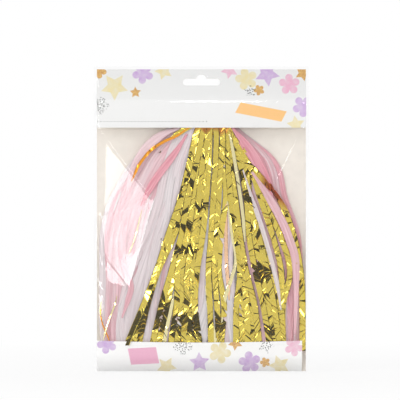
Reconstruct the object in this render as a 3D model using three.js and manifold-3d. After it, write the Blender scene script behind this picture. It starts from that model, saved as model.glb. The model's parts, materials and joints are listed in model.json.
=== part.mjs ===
// A hanging retail pack of tassels for a garland: a clear bag, a card folded over at its top and
// bottom, and eighteen fringed tassels of foil and tissue held between the card's folds.
//
// Millimetres. +Z is up, +X is to the right of someone who faces the pack, and -Y points at them.
// The origin is the centre of the hang slot, on the front face of the card's back panel.

import * as THREE from 'three';
import { mergeVertices } from 'three/addons/utils/BufferGeometryUtils.js';
import Module from 'manifold-3d';

const wasm = await Module();
wasm.setup();

// The card: one printed sheet, creased twice
const card_width = 178.4;
const card_height = 257.8;
const card_thickness = 0.5;
const header_height = 50;
const footer_height = 26.5;
const footer_right_inset = 3.5;
const footer_dip = 1.6;
const crease_gap = 0.3;
const slot_drop = 10.9;

// The hang slot: a straight bar with round ends and a hump in the middle for a single peg
const slot_width = 32;
const slot_height = 6.2;
const slot_hump_width = 9;
const slot_hump_height = 3.4;
const cut_overrun = 2;

// The bag: a sleeve of clear film, welded down both sides and open at the top
const film_thickness = 0.3;
const film_gap = 0.3;
const film_slack = 2.2;
const film_rise = 9;
const bag_width = 183.8;
const bag_above_card = 2.8;
const bag_below_card = 1.4;
const bag_squareness = 16;

// The tassels lie in flat layers, one behind the other, with their twisted heads in rows
const row_count = 3;
const column_count = 6;
const strip_thickness = 0.2;
const layer_gap = 0.3;
const flap_gap = 0.45;
const head_pitch = 9.6;
const bundle_offset = 3.9;
const head_top_drop = 9;
const head_row_drop = 4;
const head_half_width = 2.7;
const head_length = 17;
const neck_gap = 0.3;
const neck_width = 4.4;
const shoulder_length = 8;
const band_length = 6;
const band_width = 15;
const wide_band_extra = 7;
const tail_depth = 9;
const tail_unevenness = 1.5;
const strip_count = 8;
const slit_width = 0.7;
const fan_shift = 3;

// The front tassel: a wide uncut band, from which folded foil strips fan out over all the others
const front_band_width = 31;
const front_band_offset = 5.8;
const front_band_show = 1.8;
const front_strip_width = 5.7;
const front_fold_height = 0.8;
const front_overlap_lift = 0.25;
const front_reach_left = 66.5;
const front_reach_right = 88.5;
const front_loose_rise = 2;

// The strap: clear tape across the heads, stuck to the panel on both sides of them
const strap_thickness = 0.3;
const strap_height = 10;
const strap_tab_length = 14;
const strap_room = 2.5;

// How the card, the film and the fans curve, as shares of the sizes that they follow
const header_bow_share = 0.62;
const footer_bow_share = 0.55;
const side_turn_share = 0.7;
const slow_start_power = 1.15;
const front_overlap_share = 1.8;
const head_twist_share = 0.2;

// Where each group of strips of the front tassel ends, across its fan: start, end, strips
const front_group_shares = [
  { from_share: 0.0, to_share: 0.1, strips: 3 },
  { from_share: 0.148, to_share: 0.213, strips: 2 },
  { from_share: 0.246, to_share: 0.43, strips: 6 },
  { from_share: 0.508, to_share: 0.552, strips: 1 },
  { from_share: 0.6, to_share: 0.76, strips: 5 },
  { from_share: 0.78, to_share: 0.885, strips: 3 },
  { from_share: 0.965, to_share: 1.0, strips: 1 },
];

// The front film is dented beside the fringes. Each dent is cut by slanting faces, and each face falls
// away from its own fold: where the fold starts and ends, as shares of the card's width from its
// middle and of the window's height from its top, with the dent to the right of someone who walks it
const film_dents = [
  [
    { across_shares: [-0.493, -0.224], down_shares: [0.0, 0.345], fall_share: 0.1 },
    { across_shares: [-0.224, -0.345], down_shares: [0.345, 0.753], fall_share: 0.11 },
    { across_shares: [-0.345, -0.498], down_shares: [0.753, 0.715], fall_share: 0.14 },
  ],
  [
    { across_shares: [0.432, 0.318], down_shares: [0.668, 0.363], fall_share: 0.07 },
    { across_shares: [0.318, 0.485], down_shares: [0.363, 0.007], fall_share: 0.06 },
  ],
];
const film_face_share = 0.97;
const film_even_share = 0.8;

// How far each fan reaches to its left and right at its tips, as shares of half the card's width,
// and the shares of its length at which its edges have turned down, as they do along the bag's side
const left_fan = { reach_shares: [-0.965, -0.3], turn_shares: [0.42, 1.4] };
const inner_left_fan = { reach_shares: [-0.87, -0.26], turn_shares: [0.42, 1.4] };
const right_fan = { reach_shares: [0.33, 0.97], turn_shares: [1.4, 0.42] };
const middle_fan = { reach_shares: [-0.48, 0.52], turn_shares: [1.4, 1.4] };
const wide_fan = { reach_shares: [-0.79, 0.5], turn_shares: [0.9, 1.4] };

// Back to front: each tassel's colour, the column of its head, and its fan
const tassels = [
  { colour: 'pink', column: 0, fan: left_fan },
  { colour: 'gold', column: 5, fan: right_fan },
  { colour: 'gold', column: 1, fan: left_fan },
  { colour: 'white', column: 4, fan: right_fan },
  { colour: 'white', column: 2, fan: middle_fan },
  { colour: 'pink', column: 3, fan: middle_fan },
  { colour: 'white', column: 0, fan: left_fan },
  { colour: 'gold', column: 5, fan: right_fan },
  { colour: 'white', column: 1, fan: left_fan },
  { colour: 'pink', column: 4, fan: right_fan },
  { colour: 'gold', column: 2, fan: middle_fan },
  { colour: 'white', column: 3, fan: middle_fan },
  { colour: 'gold', column: 0, fan: inner_left_fan },
  { colour: 'pink', column: 5, fan: right_fan },
  { colour: 'pink', column: 1, fan: left_fan },
  { colour: 'pink', column: 4, fan: right_fan },
  { colour: 'white', column: 2, fan: wide_fan, extra_band: wide_band_extra },
  { colour: 'gold', column: 3, fan: null },
];

const materials = {
  card: new THREE.MeshStandardMaterial({ color: 0xf4f4f2, roughness: 0.45 }),
  liner: new THREE.MeshStandardMaterial({ color: 0xe9e1d4, roughness: 0.8 }),
  film: new THREE.MeshStandardMaterial({ color: 0xffffff, roughness: 0.1, transparent: true, opacity: 0.2 }),
  tape: new THREE.MeshStandardMaterial({ color: 0xf3efe0, roughness: 0.3 }),
  gold: new THREE.MeshStandardMaterial({ color: 0xd8c05c, roughness: 0.25, metalness: 1 }),
  pink: new THREE.MeshStandardMaterial({ color: 0xf7b3c2, roughness: 0.8 }),
  white: new THREE.MeshStandardMaterial({ color: 0xe2dee4, roughness: 0.8 }),
};

// Heights and depths that follow from the sizes above
const card_top = slot_drop;
const card_bottom = card_top - card_height;
const header_bottom = card_top - header_height;
const footer_top = card_bottom + footer_height;
const layer_pitch = strip_thickness + layer_gap;
const tassel_count = row_count * column_count;
const front_layer_depth = layer_gap + strip_thickness + (tassel_count - 1) * layer_pitch;
const stack_depth = front_layer_depth + front_fold_height + front_overlap_lift;
const bow_depth = stack_depth + flap_gap;
const row_depth = column_count * layer_pitch;
const head_half_depth = (row_depth - layer_gap) / 2;
const heads_bottom = -(head_top_drop + head_length);
const shoulder_top = heads_bottom - neck_gap;
const band_top = shoulder_top - shoulder_length;
const slits_top = Math.min(band_top - band_length, header_bottom - front_band_show);
const tail_bottom = footer_top - tail_depth;

const group = new THREE.Group();

function add(name, geometry, material) {
  const mesh = new THREE.Mesh(geometry, material);
  mesh.name = name;
  group.add(mesh);
}

function lerp(a, b, share) {
  return a + (b - a) * share;
}

function quarter_wave(share) {
  return Math.sin((Math.PI / 2) * Math.min(1, Math.max(0, share)));
}

// A steady unevenness between -1 and 1 for the k-th of a set of strips
function uneven(k) {
  return Math.sin(k * 2.4);
}

function to_solid(geometry) {
  const bare = geometry.clone();
  bare.deleteAttribute('normal');
  bare.deleteAttribute('uv');
  const merged = mergeVertices(bare, 1e-4);
  const mesh = new wasm.Mesh({
    numProp: 3,
    vertProperties: new Float32Array(merged.attributes.position.array),
    triVerts: new Uint32Array(merged.index.array),
  });
  return new wasm.Manifold(mesh);
}

function to_geometry(solid) {
  const mesh = solid.getMesh();
  const geometry = new THREE.BufferGeometry();
  geometry.setAttribute('position', new THREE.BufferAttribute(new Float32Array(mesh.vertProperties), 3));
  geometry.setIndex(new THREE.BufferAttribute(new Uint32Array(mesh.triVerts), 1));
  geometry.computeVertexNormals();
  return geometry;
}

// A closed body through a row of closed rings, each an array of points in the same order
function loft(rings) {
  const size = rings[0].length;
  const points = rings.flat();
  const faces = [];
  for (let row = 0; row < rings.length - 1; row += 1) {
    for (let k = 0; k < size; k += 1) {
      const next = (k + 1) % size;
      const here = row * size;
      const below = here + size;
      faces.push([here + k, below + k, below + next], [here + k, below + next, here + next]);
    }
  }
  const flat = rings[0].map((p) => new THREE.Vector2(p.x, p.y));
  const last = (rings.length - 1) * size;
  for (const [a, b, c] of THREE.ShapeUtils.triangulateShape(flat, [])) {
    faces.push([a, b, c], [last + c, last + b, last + a]);
  }
  return outward(points, faces);
}

// The body with these points and triangles, turned so that its faces point out
function outward(points, faces) {
  let volume = 0;
  for (const [a, b, c] of faces) {
    volume += points[a].dot(new THREE.Vector3().crossVectors(points[b], points[c]));
  }
  const order = volume < 0 ? faces.map(([a, b, c]) => [a, c, b]) : faces;
  const geometry = new THREE.BufferGeometry().setFromPoints(points);
  geometry.setIndex(order.flat());
  geometry.computeVertexNormals();
  return geometry;
}

// A closed sheet between two surfaces, each a function of shares across and down
function sheet(front, back, across, down) {
  const points = [];
  for (const side of [front, back]) {
    for (let row = 0; row <= down; row += 1) {
      for (let k = 0; k <= across; k += 1) {
        points.push(side(k / across, row / down));
      }
    }
  }
  const wide = across + 1;
  const other = wide * (down + 1);
  const faces = [];
  for (let row = 0; row < down; row += 1) {
    for (let k = 0; k < across; k += 1) {
      const a = row * wide + k;
      const b = a + wide;
      faces.push([a, b, b + 1], [a, b + 1, a + 1]);
      faces.push([other + a, other + b + 1, other + b], [other + a, other + a + 1, other + b + 1]);
    }
  }
  const rim = [];
  for (let k = 0; k < across; k += 1) rim.push(k);
  for (let row = 0; row < down; row += 1) rim.push(row * wide + across);
  for (let k = across; k > 0; k -= 1) rim.push(down * wide + k);
  for (let row = down; row > 0; row -= 1) rim.push(row * wide);
  rim.forEach((a, k) => {
    const b = rim[(k + 1) % rim.length];
    faces.push([a, b, other + b], [a, other + b, other + a]);
  });
  return outward(points, faces);
}

// A flat plate standing upright: an outline in X and Z, with its front face at this depth
function plate(outline, front_depth, thickness, holes = []) {
  const shape = new THREE.Shape(outline);
  shape.holes.push(...holes);
  const geometry = new THREE.ExtrudeGeometry(shape, { depth: thickness, bevelEnabled: false, curveSegments: 6 });
  geometry.rotateX(Math.PI / 2);
  geometry.translate(0, thickness - front_depth, 0);
  return geometry;
}

function rectangle(left, right, bottom, top) {
  return [
    new THREE.Vector2(left, bottom),
    new THREE.Vector2(right, bottom),
    new THREE.Vector2(right, top),
    new THREE.Vector2(left, top),
  ];
}

// The hang slot's outline
function slot_path() {
  const round = slot_height / 2;
  const straight = slot_width / 2 - round;
  const hump_round = slot_hump_width / 2;
  const hump_base = round + slot_hump_height - hump_round;
  const path = new THREE.Path();
  path.absarc(-straight, 0, round, Math.PI / 2, Math.PI * 1.5, false);
  path.absarc(straight, 0, round, -Math.PI / 2, Math.PI / 2, false);
  if (hump_base > round) {
    path.lineTo(hump_round, round);
    path.absarc(0, hump_base, hump_round, 0, Math.PI, false);
    path.lineTo(-hump_round, round);
  } else {
    const start = Math.asin((round - hump_base) / hump_round);
    path.absarc(0, hump_base, hump_round, start, Math.PI - start, false);
  }
  path.closePath();
  return path;
}

// The solid that is punched out of the card and the film
function slot_punch() {
  const reach = bow_depth + card_thickness * 2 + film_slack + film_thickness + film_gap + cut_overrun;
  const outline = slot_path().getPoints(6);
  return to_solid(plate(outline, reach, reach * 2));
}

function punched(geometry) {
  return to_geometry(to_solid(geometry).subtract(slot_punch()));
}

// How far the header's inner face stands in front of the panel at this height
function header_depth(height) {
  const share = (card_top - height) / (header_height * header_bow_share);
  return crease_gap + (bow_depth - crease_gap) * quarter_wave(share);
}

// How far the footer's inner face stands in front of the panel at this height
function footer_depth(height) {
  const share = (height - card_bottom) / (footer_height * footer_bow_share);
  return crease_gap + (bow_depth - crease_gap) * quarter_wave(share);
}

// The card

function backing_panel() {
  const half = card_width / 2;
  return plate(rectangle(-half, half, card_bottom, card_top), 0, card_thickness, [slot_path()]);
}

function header_flap() {
  const half = card_width / 2;
  const face = (depth) => (u, v) => {
    const height = card_top - v * header_height;
    return new THREE.Vector3(lerp(-half, half, u), -header_depth(height) - depth, height);
  };
  return punched(sheet(face(card_thickness), face(0), 2, 12));
}

// The footer's upper edge dips a little in the middle
function footer_flap() {
  const left = -card_width / 2;
  const right = card_width / 2 - footer_right_inset;
  const face = (depth) => (u, v) => {
    const dip = footer_dip * Math.sin(Math.PI * u);
    const height = card_bottom + v * (footer_height - dip);
    return new THREE.Vector3(lerp(left, right, u), -footer_depth(height) - depth, height);
  };
  return sheet(face(card_thickness), face(0), 8, 8);
}

// The bag

const bag_top = card_top + bag_above_card;
const bag_bottom = card_bottom - bag_below_card;
const back_film_front = card_thickness + film_gap;
const weld = back_film_front - film_gap;

// How far the front film's inner face stands in front of the panel at this height
function film_depth(height) {
  const over_header = header_depth(height) + film_slack * quarter_wave((bag_top - height) / film_rise);
  const over_footer = footer_depth(height) + film_slack * quarter_wave((height - bag_bottom) / film_rise);
  return Math.min(over_header, over_footer) + card_thickness + film_gap;
}

// How far the film is pushed in at this place: in each dent, by the least fall of its faces
function film_dent(x, height) {
  let total = 0;
  for (const faces of film_dents) {
    const falls = faces.map(({ across_shares, down_shares, fall_share }) => {
      const [start, end] = across_shares.map(
        (share, k) => new THREE.Vector2(share * card_width, lerp(header_bottom, footer_top, down_shares[k])),
      );
      const along = end.clone().sub(start).normalize();
      return fall_share * new THREE.Vector2(x, height).sub(start).cross(along);
    });
    total += Math.max(0, Math.min(...falls));
  }
  return total;
}

// Even steps over the bag's face, then short ones round its sides: a share from -1 to 1 across it
function film_across(u) {
  const wide = Math.abs(2 * u - 1);
  const turned = quarter_wave((wide - film_even_share) / (1 - film_even_share));
  const share = Math.min(1, wide / film_even_share) * film_face_share + turned * (1 - film_face_share);
  return Math.sign(2 * u - 1) * share;
}

function front_film() {
  const face = (thickness) => (u, v) => {
    const height = lerp(bag_top, bag_bottom, 0.5 - Math.cos(Math.PI * v) / 2);
    const across = film_across(u);
    const x = across * (bag_width / 2 - film_thickness + thickness);
    const depth = film_depth(height) - film_dent(x, height) + thickness + weld;
    const forward = (1 - Math.abs(across) ** bag_squareness) ** (1 / bag_squareness);
    return new THREE.Vector3(x, weld - depth * forward, height);
  };
  return punched(sheet(face(film_thickness), face(0), 20, 24));
}

function back_film() {
  const half = bag_width / 2;
  const depth = -back_film_front;
  return plate(rectangle(-half, half, bag_bottom, bag_top), depth, film_thickness, [slot_path()]);
}

// The heads and the strap that holds them

function head_x(column) {
  return bundle_offset + (column - (column_count - 1) / 2) * head_pitch;
}

function row_centre(row) {
  return -(layer_gap + head_half_depth + row * row_depth);
}

function head_top(row) {
  return -(head_top_drop + row * head_row_drop);
}

// Twisted paper: a section with two lobes, which turns as it climbs and closes over the top
function twisted_head(row, column) {
  const bottom = heads_bottom;
  const top = head_top(row);
  const stations = 5;
  const sides = 8;
  const rings = [];
  for (let row_index = 0; row_index <= stations; row_index += 1) {
    const share = row_index / stations;
    const dome = Math.sqrt(Math.max(0.04, 1 - Math.max(0, share * 2 - 1) ** 4));
    const waist = lerp(neck_width / 2 / head_half_width, 1, quarter_wave(share * 2));
    const turn = share * Math.PI * 1.5;
    const ring = [];
    for (let k = 0; k < sides; k += 1) {
      const angle = (k / sides) * Math.PI * 2;
      const lobe = 1 - head_twist_share * (1 - Math.cos(2 * (angle - turn))) / 2;
      const x = head_x(column) + head_half_width * waist * dome * lobe * Math.cos(angle);
      const y = row_centre(row) + head_half_depth * dome * lobe * Math.sin(angle);
      ring.push(new THREE.Vector3(x, y, lerp(bottom, top, share)));
    }
    rings.push(ring);
  }
  return loft(rings);
}

function head_strap() {
  const front = row_count * row_depth;
  const left = head_x(0) - head_half_width - strap_room;
  const right = head_x(column_count - 1) + head_half_width + strap_room;
  const slope = strap_room;
  const outer = [
    [left - slope - strap_tab_length, strap_thickness],
    [left - slope, strap_thickness],
    [left, front + strap_thickness],
    [right, front + strap_thickness],
    [right + slope, strap_thickness],
    [right + slope + strap_tab_length, strap_thickness],
  ];
  const inner = [
    [right + slope + strap_tab_length, 0],
    [right + slope - strap_thickness, 0],
    [right - strap_thickness, front],
    [left + strap_thickness, front],
    [left - slope + strap_thickness, 0],
    [left - slope - strap_tab_length, 0],
  ];
  const seat = layer_gap;
  const ring = (height) => [...outer, ...inner].map(([x, depth]) => new THREE.Vector3(x, -depth - seat, height));
  return loft([ring(heads_bottom), ring(heads_bottom + strap_height)]);
}

// The fringes

// How far across a fan's edge has gone at this share of its length, if it turns down at another
function fan_edge(share, turn_share) {
  return (quarter_wave(share / turn_share) / quarter_wave(1 / turn_share)) ** slow_start_power;
}

// A flat fringe: a neck that widens to an uncut band, and below it strips that fan out
function fringe(index, column, fan, extra_band = 0) {
  const inset = fan_shift * (1 + uneven(index));
  const ends = fan.reach_shares.map((share) => (share * card_width) / 2);
  const centre = head_x(column);
  const left_start = centre - band_width / 2 - extra_band;
  const right_start = centre + band_width / 2;
  const place = (across, share) => {
    const left = lerp(left_start, ends[0] + inset, fan_edge(share, fan.turn_shares[0]));
    const right = lerp(right_start, ends[1] - inset, fan_edge(share, fan.turn_shares[1]));
    return lerp(left, right, across);
  };
  const down_shares = [0.1, 0.22, 0.34, 0.46, 1];
  const outline = [new THREE.Vector2(centre - neck_width / 2, shoulder_top), new THREE.Vector2(left_start, band_top)];
  for (let k = 0; k < strip_count; k += 1) {
    const tip = tail_bottom + tail_unevenness * uneven(index * strip_count + k);
    const at = (across, share, shift) => {
      const height = lerp(slits_top, tip, share);
      return new THREE.Vector2(place(across, share) + shift * Math.min(1, share * 4), height);
    };
    const half_slit = slit_width / 2;
    outline.push(at(k / strip_count, 0, 0));
    outline.push(...down_shares.map((share) => at(k / strip_count, share, half_slit)));
    outline.push(...down_shares.toReversed().map((share) => at((k + 1) / strip_count, share, -half_slit)));
  }
  outline.push(new THREE.Vector2(right_start, slits_top), new THREE.Vector2(right_start, band_top));
  outline.push(new THREE.Vector2(centre + neck_width / 2, shoulder_top));
  return plate(outline, layer_gap + strip_thickness + index * layer_pitch, strip_thickness);
}

// The front fringe: strips creased down their middle, which overlap where they leave the band
function front_fringe() {
  const centre = head_x(tassels.at(-1).column);
  const band_centre = bundle_offset + front_band_offset;
  const left_start = band_centre - front_band_width / 2;
  const right_start = band_centre + front_band_width / 2;
  const places = front_group_shares.flatMap(({ from_share, to_share, strips }) =>
    Array.from({ length: strips }, (_, k) => lerp(from_share, to_share, (k + 0.5) / strips)));
  const back = front_layer_depth - strip_thickness;
  const outline = [
    new THREE.Vector2(centre - neck_width / 2, shoulder_top),
    new THREE.Vector2(left_start, band_top),
    new THREE.Vector2(left_start, slits_top),
    new THREE.Vector2(right_start, slits_top),
    new THREE.Vector2(right_start, band_top),
    new THREE.Vector2(centre + neck_width / 2, shoulder_top),
  ];
  let solid = to_solid(plate(outline, front_layer_depth, strip_thickness));
  const down_shares = [0, 0.12, 0.28, 0.45, 0.62, 1];
  const start = slits_top + front_band_show;
  places.forEach((across_end, k) => {
    const across_start = (k + 0.5) / places.length;
    const loose = k === 0;
    const tip = loose ? footer_top + front_loose_rise : tail_bottom + tail_unevenness * uneven(k);
    const lift = (k % 2) * front_overlap_lift;
    const rings = down_shares.map((share) => {
      const left = lerp(left_start, -front_reach_left, share ** slow_start_power);
      const right = lerp(right_start, front_reach_right, fan_edge(share, side_turn_share));
      const pitch = (right - left) / places.length;
      const half = Math.min(front_strip_width, pitch * front_overlap_share) / 2;
      const fold = front_fold_height * (half * 2 / front_strip_width);
      const x = lerp(left + half, right - half, lerp(across_start, across_end, share));
      const height = lerp(start, tip, share);
      const corner = (shift, depth) => new THREE.Vector3(x + shift, -(back + lift + depth), height);
      return [
        corner(-half, strip_thickness),
        corner(0, strip_thickness + fold),
        corner(half, strip_thickness),
        corner(half, 0),
        corner(0, fold),
        corner(-half, 0),
      ];
    });
    solid = solid.add(to_solid(loft(rings)));
  });
  return to_geometry(solid);
}

add('bag_back_film', back_film(), materials.film);
add('bag_front_film', front_film(), materials.film);
add('backing_panel', backing_panel(), materials.liner);
add('header_flap', header_flap(), materials.card);
add('footer_flap', footer_flap(), materials.card);
add('head_strap', head_strap(), materials.tape);

tassels.forEach(({ colour, column, fan, extra_band }, index) => {
  const row = Math.floor(index / column_count);
  const number = String(index + 1).padStart(2, '0');
  add(`tassel_${number}_head`, twisted_head(row, column), materials[colour]);
  add(`tassel_${number}_fringe`, fan ? fringe(index, column, fan, extra_band) : front_fringe(), materials[colour]);
});

export default group;
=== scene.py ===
"""The looks of a hanging retail pack of tassels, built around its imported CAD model.

Everything is in metres, in the CAD model's frame: Z is up, X is to the right of someone who faces
the pack, -Y points at them, and the origin is the middle of the hang slot.
"""

import json
import math
from functools import partial

import bpy
import numpy as np
from bpy.props import FloatProperty, FloatVectorProperty, PointerProperty
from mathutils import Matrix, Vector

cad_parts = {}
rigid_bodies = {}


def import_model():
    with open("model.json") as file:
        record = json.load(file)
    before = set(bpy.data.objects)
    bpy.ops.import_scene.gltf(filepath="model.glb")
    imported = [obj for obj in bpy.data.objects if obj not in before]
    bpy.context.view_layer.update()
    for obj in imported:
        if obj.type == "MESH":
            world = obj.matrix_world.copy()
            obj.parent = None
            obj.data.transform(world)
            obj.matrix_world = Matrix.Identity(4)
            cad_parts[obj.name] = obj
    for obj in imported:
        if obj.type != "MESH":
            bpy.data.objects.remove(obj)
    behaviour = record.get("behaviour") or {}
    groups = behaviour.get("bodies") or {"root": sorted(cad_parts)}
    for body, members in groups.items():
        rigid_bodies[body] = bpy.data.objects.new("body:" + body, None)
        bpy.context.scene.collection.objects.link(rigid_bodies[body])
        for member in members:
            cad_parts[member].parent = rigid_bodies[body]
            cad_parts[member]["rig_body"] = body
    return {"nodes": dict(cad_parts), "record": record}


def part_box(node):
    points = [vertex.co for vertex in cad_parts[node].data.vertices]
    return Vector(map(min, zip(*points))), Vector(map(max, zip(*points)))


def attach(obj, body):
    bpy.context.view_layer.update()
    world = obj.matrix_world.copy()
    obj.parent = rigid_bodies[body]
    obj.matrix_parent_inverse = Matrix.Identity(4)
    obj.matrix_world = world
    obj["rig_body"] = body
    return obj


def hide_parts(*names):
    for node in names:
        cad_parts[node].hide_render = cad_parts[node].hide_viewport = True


bl_info = {
    "name": "Tassel pack looks",
    "version": (1, 0, 0),
    "blender": (4, 5, 0),
    "location": "3D View > Sidebar > Tassel pack",
    "description": "Dresses the tassel pack: printed card, clear bag, foil and tissue fringes",
    "category": "Object",
}

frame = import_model()

MM = 0.001

# The picture's frame: 400 pixels across, with its middle at this place on the pack
FRAME_PIXELS = 400
FRAME_WIDTH = 340.4 * MM
PIXEL = FRAME_WIDTH / FRAME_PIXELS
PICTURE_MIDDLE_X = -1.2 * MM
PICTURE_MIDDLE_Z = -100.7 * MM

# The corners of the card's flaps and of the front film, and the lowest point, from the frame
HEADER_LOW, HEADER_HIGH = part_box("header_flap")
FOOTER_LOW, FOOTER_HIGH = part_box("footer_flap")
FILM_LOW, FILM_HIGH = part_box("bag_front_film")
FLOOR_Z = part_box("bag_back_film")[0].z

# The card: its board, the gap at its creases, how far its flaps bow out and the height over which
# each does, the dip of the footer's edge, and the columns and rows of a flap's mesh
CARD_THICKNESS = 0.5 * MM
CREASE_GAP = 0.3 * MM
BOW_DEPTH = -HEADER_LOW.y - CARD_THICKNESS
HEADER_BOW = 31 * MM
FOOTER_BOW = 14.6 * MM
FOOTER_DIP = 1.6 * MM
FLAP_COLUMNS, FLAP_ROWS = 61, 41

# The front film: its slack, which it gains over its rise from the bag's ends, its gap to the card, its
# thickness, the power of its rounded box, and the columns and rows of its mesh
FILM_SLACK = 2.2 * MM
FILM_GAP = 0.3 * MM
FILM_RISE = 9 * MM
FILM_THICKNESS = 0.06 * MM
BAG_SQUARENESS = 20
FILM_COLUMNS, FILM_ROWS = 197, 245

# The hang slot, and how far its cutter reaches to the front and the back
SLOT_WIDTH = 32 * MM
SLOT_HEIGHT = 6.2 * MM
SLOT_HUMP_WIDTH = 9 * MM
SLOT_HUMP_HEIGHT = 3.4 * MM
CUTTER_REACH = 30 * MM

# The tassels, in layers from the panel to the front. The record's joints from FIRST_SWING on are
# their swings. Near the fringes' outline a layer keeps only a share of its depth.
TASSEL_COUNT = 18
FIRST_SWING = 3
LAYER_PITCH = 0.47 * MM
FIRST_LAYER = 0.4 * MM
PAPER_THICKNESS = 0.05 * MM
FRONT_SHEET_DEPTH = 8.95 * MM
FRONT_SHEET_PITCH = 0.65 * MM
EDGE_PRESS_SHARE = 0.35
EDGE_PRESS_REACH = 20 * MM

# Rows of a tissue strand's mesh and of a loose one's, its places across, the creases of a loose foil
# strip, and how far the pattern is shifted from each ribbon to the next
STRAND_ROWS, LOOSE_ROWS = 72, 60
STRAND_ACROSS = np.linspace(-1, 1, 9)
STRAY_CREASES = 24
RIBBON_STEP = 0.1

# A head's rows and sides, and how often it is twisted
HEAD_ROWS, HEAD_SIDES, HEAD_TURNS = 30, 32, 1.6

# Half the floor's width
FLOOR_REACH = 6.0

# Each tassel's colour, from the panel to the front
COLOURS = (
    "pink gold gold white white pink "
    "white gold white pink gold white "
    "gold pink pink pink white gold"
).split()


def linear(text):
    """The linear colour, with alpha 1, of an sRGB hex colour."""
    parts = [int(text[k : k + 2], 16) / 255 for k in (1, 3, 5)]
    return [c / 12.92 if c <= 0.04045 else ((c + 0.055) / 1.055) ** 2.4 for c in parts] + [1.0]


def picture_x(pixel):
    """The X of a pixel column of the picture, on the pack."""
    return PICTURE_MIDDLE_X + (np.asarray(pixel, float) - FRAME_PIXELS / 2) * PIXEL


def picture_z(pixel):
    """The Z of a pixel row of the picture, on the pack."""
    return PICTURE_MIDDLE_Z + (FRAME_PIXELS / 2 - np.asarray(pixel, float)) * PIXEL


def picture_place(column, row):
    """The place of a pixel of the picture on the pack's XZ plane."""
    return float(picture_x(column)), 0.0, float(picture_z(row))


# Settings that a user would change


def length(name, description, default):
    """A length, in metres."""
    named = {"name": name, "description": description, "default": default}
    return FloatProperty(**named, min=0, unit="LENGTH", precision=5)


def colour(name, description, default):
    """A colour, from its sRGB hex value."""
    named = {"name": name, "description": description, "default": linear(default)}
    return FloatVectorProperty(**named, size=4, min=0, max=1, subtype="COLOR")


class CardSettings(bpy.types.PropertyGroup):
    """The card's board and its print"""

    white: colour("White", "The header's ground: the coated side of the board", "#EBEBEA")
    # Painted light: the footer is the same board as the header, and its white is written lighter to make up
    # for the shade where it bows down
    footer_white: colour("Footer white", "The footer's ground, lighter because it bows down", "#FAFAF9")
    liner: colour("Liner", "The uncoated inside of the board", "#F1EAE0")
    cream: colour("Cream", "A print colour", "#EBDDA8")
    amber: colour("Amber", "A print colour", "#E9BE62")
    lilac: colour("Lilac", "A print colour", "#CBA9DA")
    rose: colour("Rose", "A print colour", "#EDB3CC")
    orange: colour("Orange", "The header's blank label", "#F9C47C")
    ink: colour("Ink", "The dark print colour", "#3A3836")


class FoilSettings(bpy.types.PropertyGroup):
    """The metallised foil"""

    gold: colour("Gold", "The foil's face", "#DDC75A")
    # Painted reflection: the orange that the gold foil shows where it is turned edge on
    amber: colour("Amber", "The foil where it glows orange", "#F2A22E")
    # Painted reflection and shade: the brown that the gold foil shows where it is twisted and under the
    # header's edge
    copper: colour("Copper", "The foil where it glows brown", "#A85522")
    pale: colour("Pale", "The foil's paler back", "#EBE0AC")
    # Painted reflection: the pink that the gold foil mirrors from the tissue
    peach: colour("Peach", "The foil where it glows pink", "#F3C7A0")
    strip_width: length("Strip width", "How wide each foil strip is cut", 5.2 * MM)


class TissueSettings(bpy.types.PropertyGroup):
    """The tissue paper"""

    pink: colour("Pink", "The pink paper", "#FFAEBE")
    white: colour("White", "The white paper", "#FCEEF1")
    strip_width: length("Strip width", "How wide each paper strip is cut", 7.5 * MM)
    pleat: length("Pleat", "How deep a strip's lengthwise folds are", 0.3 * MM)


class FilmSettings(bpy.types.PropertyGroup):
    """The clear bag"""

    tint: colour("Tint", "What the film lets through", "#FFFFFF")


class StageSettings(bpy.types.PropertyGroup):
    """The camera and the light"""

    camera_distance: length("Camera distance", "From the pack's front to the camera", 3.0)


class PackSettings(bpy.types.PropertyGroup):
    """All the settings of the pack"""

    card: PointerProperty(type=CardSettings)
    foil: PointerProperty(type=FoilSettings)
    tissue: PointerProperty(type=TissueSettings)
    film: PointerProperty(type=FilmSettings)
    stage: PointerProperty(type=StageSettings)


# Shapes


def smooth(value, start, end):
    """A smooth step: 0 up to start, 1 from end on, and 3t^2 - 2t^3 between them. The end may be the
    lower of the two."""
    t = np.clip((value - start) / (end - start), 0, 1)
    return t * t * (3 - 2 * t)


def bump(value, middle, reach):
    """A hill of height 1 at middle: exp(-d^2), d being the distance in reaches."""
    return np.exp(-(((value - middle) / reach) ** 2))


def quarter_wave(share):
    """sin of a quarter turn times share, flat past share 1."""
    return np.sin(np.pi / 2 * np.clip(share, 0, 1))


def ripples(x, z, wavelength, seed):
    """A smooth unevenness from about -1 to 1: the sum of six plane waves, whose directions, lengths
    and phases are drawn from the seed, divided by three."""
    rng = np.random.default_rng(seed)
    total = 0.0
    for _ in range(6):
        angle, phase = rng.uniform(0, 2 * np.pi, 2)
        reach = wavelength * rng.uniform(0.7, 1.5)
        total = total + np.sin((x * np.cos(angle) + z * np.sin(angle)) * 2 * np.pi / reach + phase)
    return total / 3


def curve(stations, values, at):
    """Smooth curves through values at the stations, one row each: cubic pieces, whose slope at a
    station is a weighted mean of the slopes to its two neighbours."""
    stations = np.asarray(stations, float)
    slopes = np.gradient(values, stations, axis=1)
    k = np.clip(np.searchsorted(stations, at, side="right") - 1, 0, len(stations) - 2)
    step = stations[k + 1] - stations[k]
    t = (at - stations[k]) / step
    start, end = np.take_along_axis(values, k, 1), np.take_along_axis(values, k + 1, 1)
    leave, arrive = np.take_along_axis(slopes, k, 1) * step, np.take_along_axis(slopes, k + 1, 1) * step
    return (
        (2 * t**3 - 3 * t**2 + 1) * start
        + (t**3 - 2 * t**2 + t) * leave
        + (3 * t**2 - 2 * t**3) * end
        + (t**3 - t**2) * arrive
    )


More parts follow.
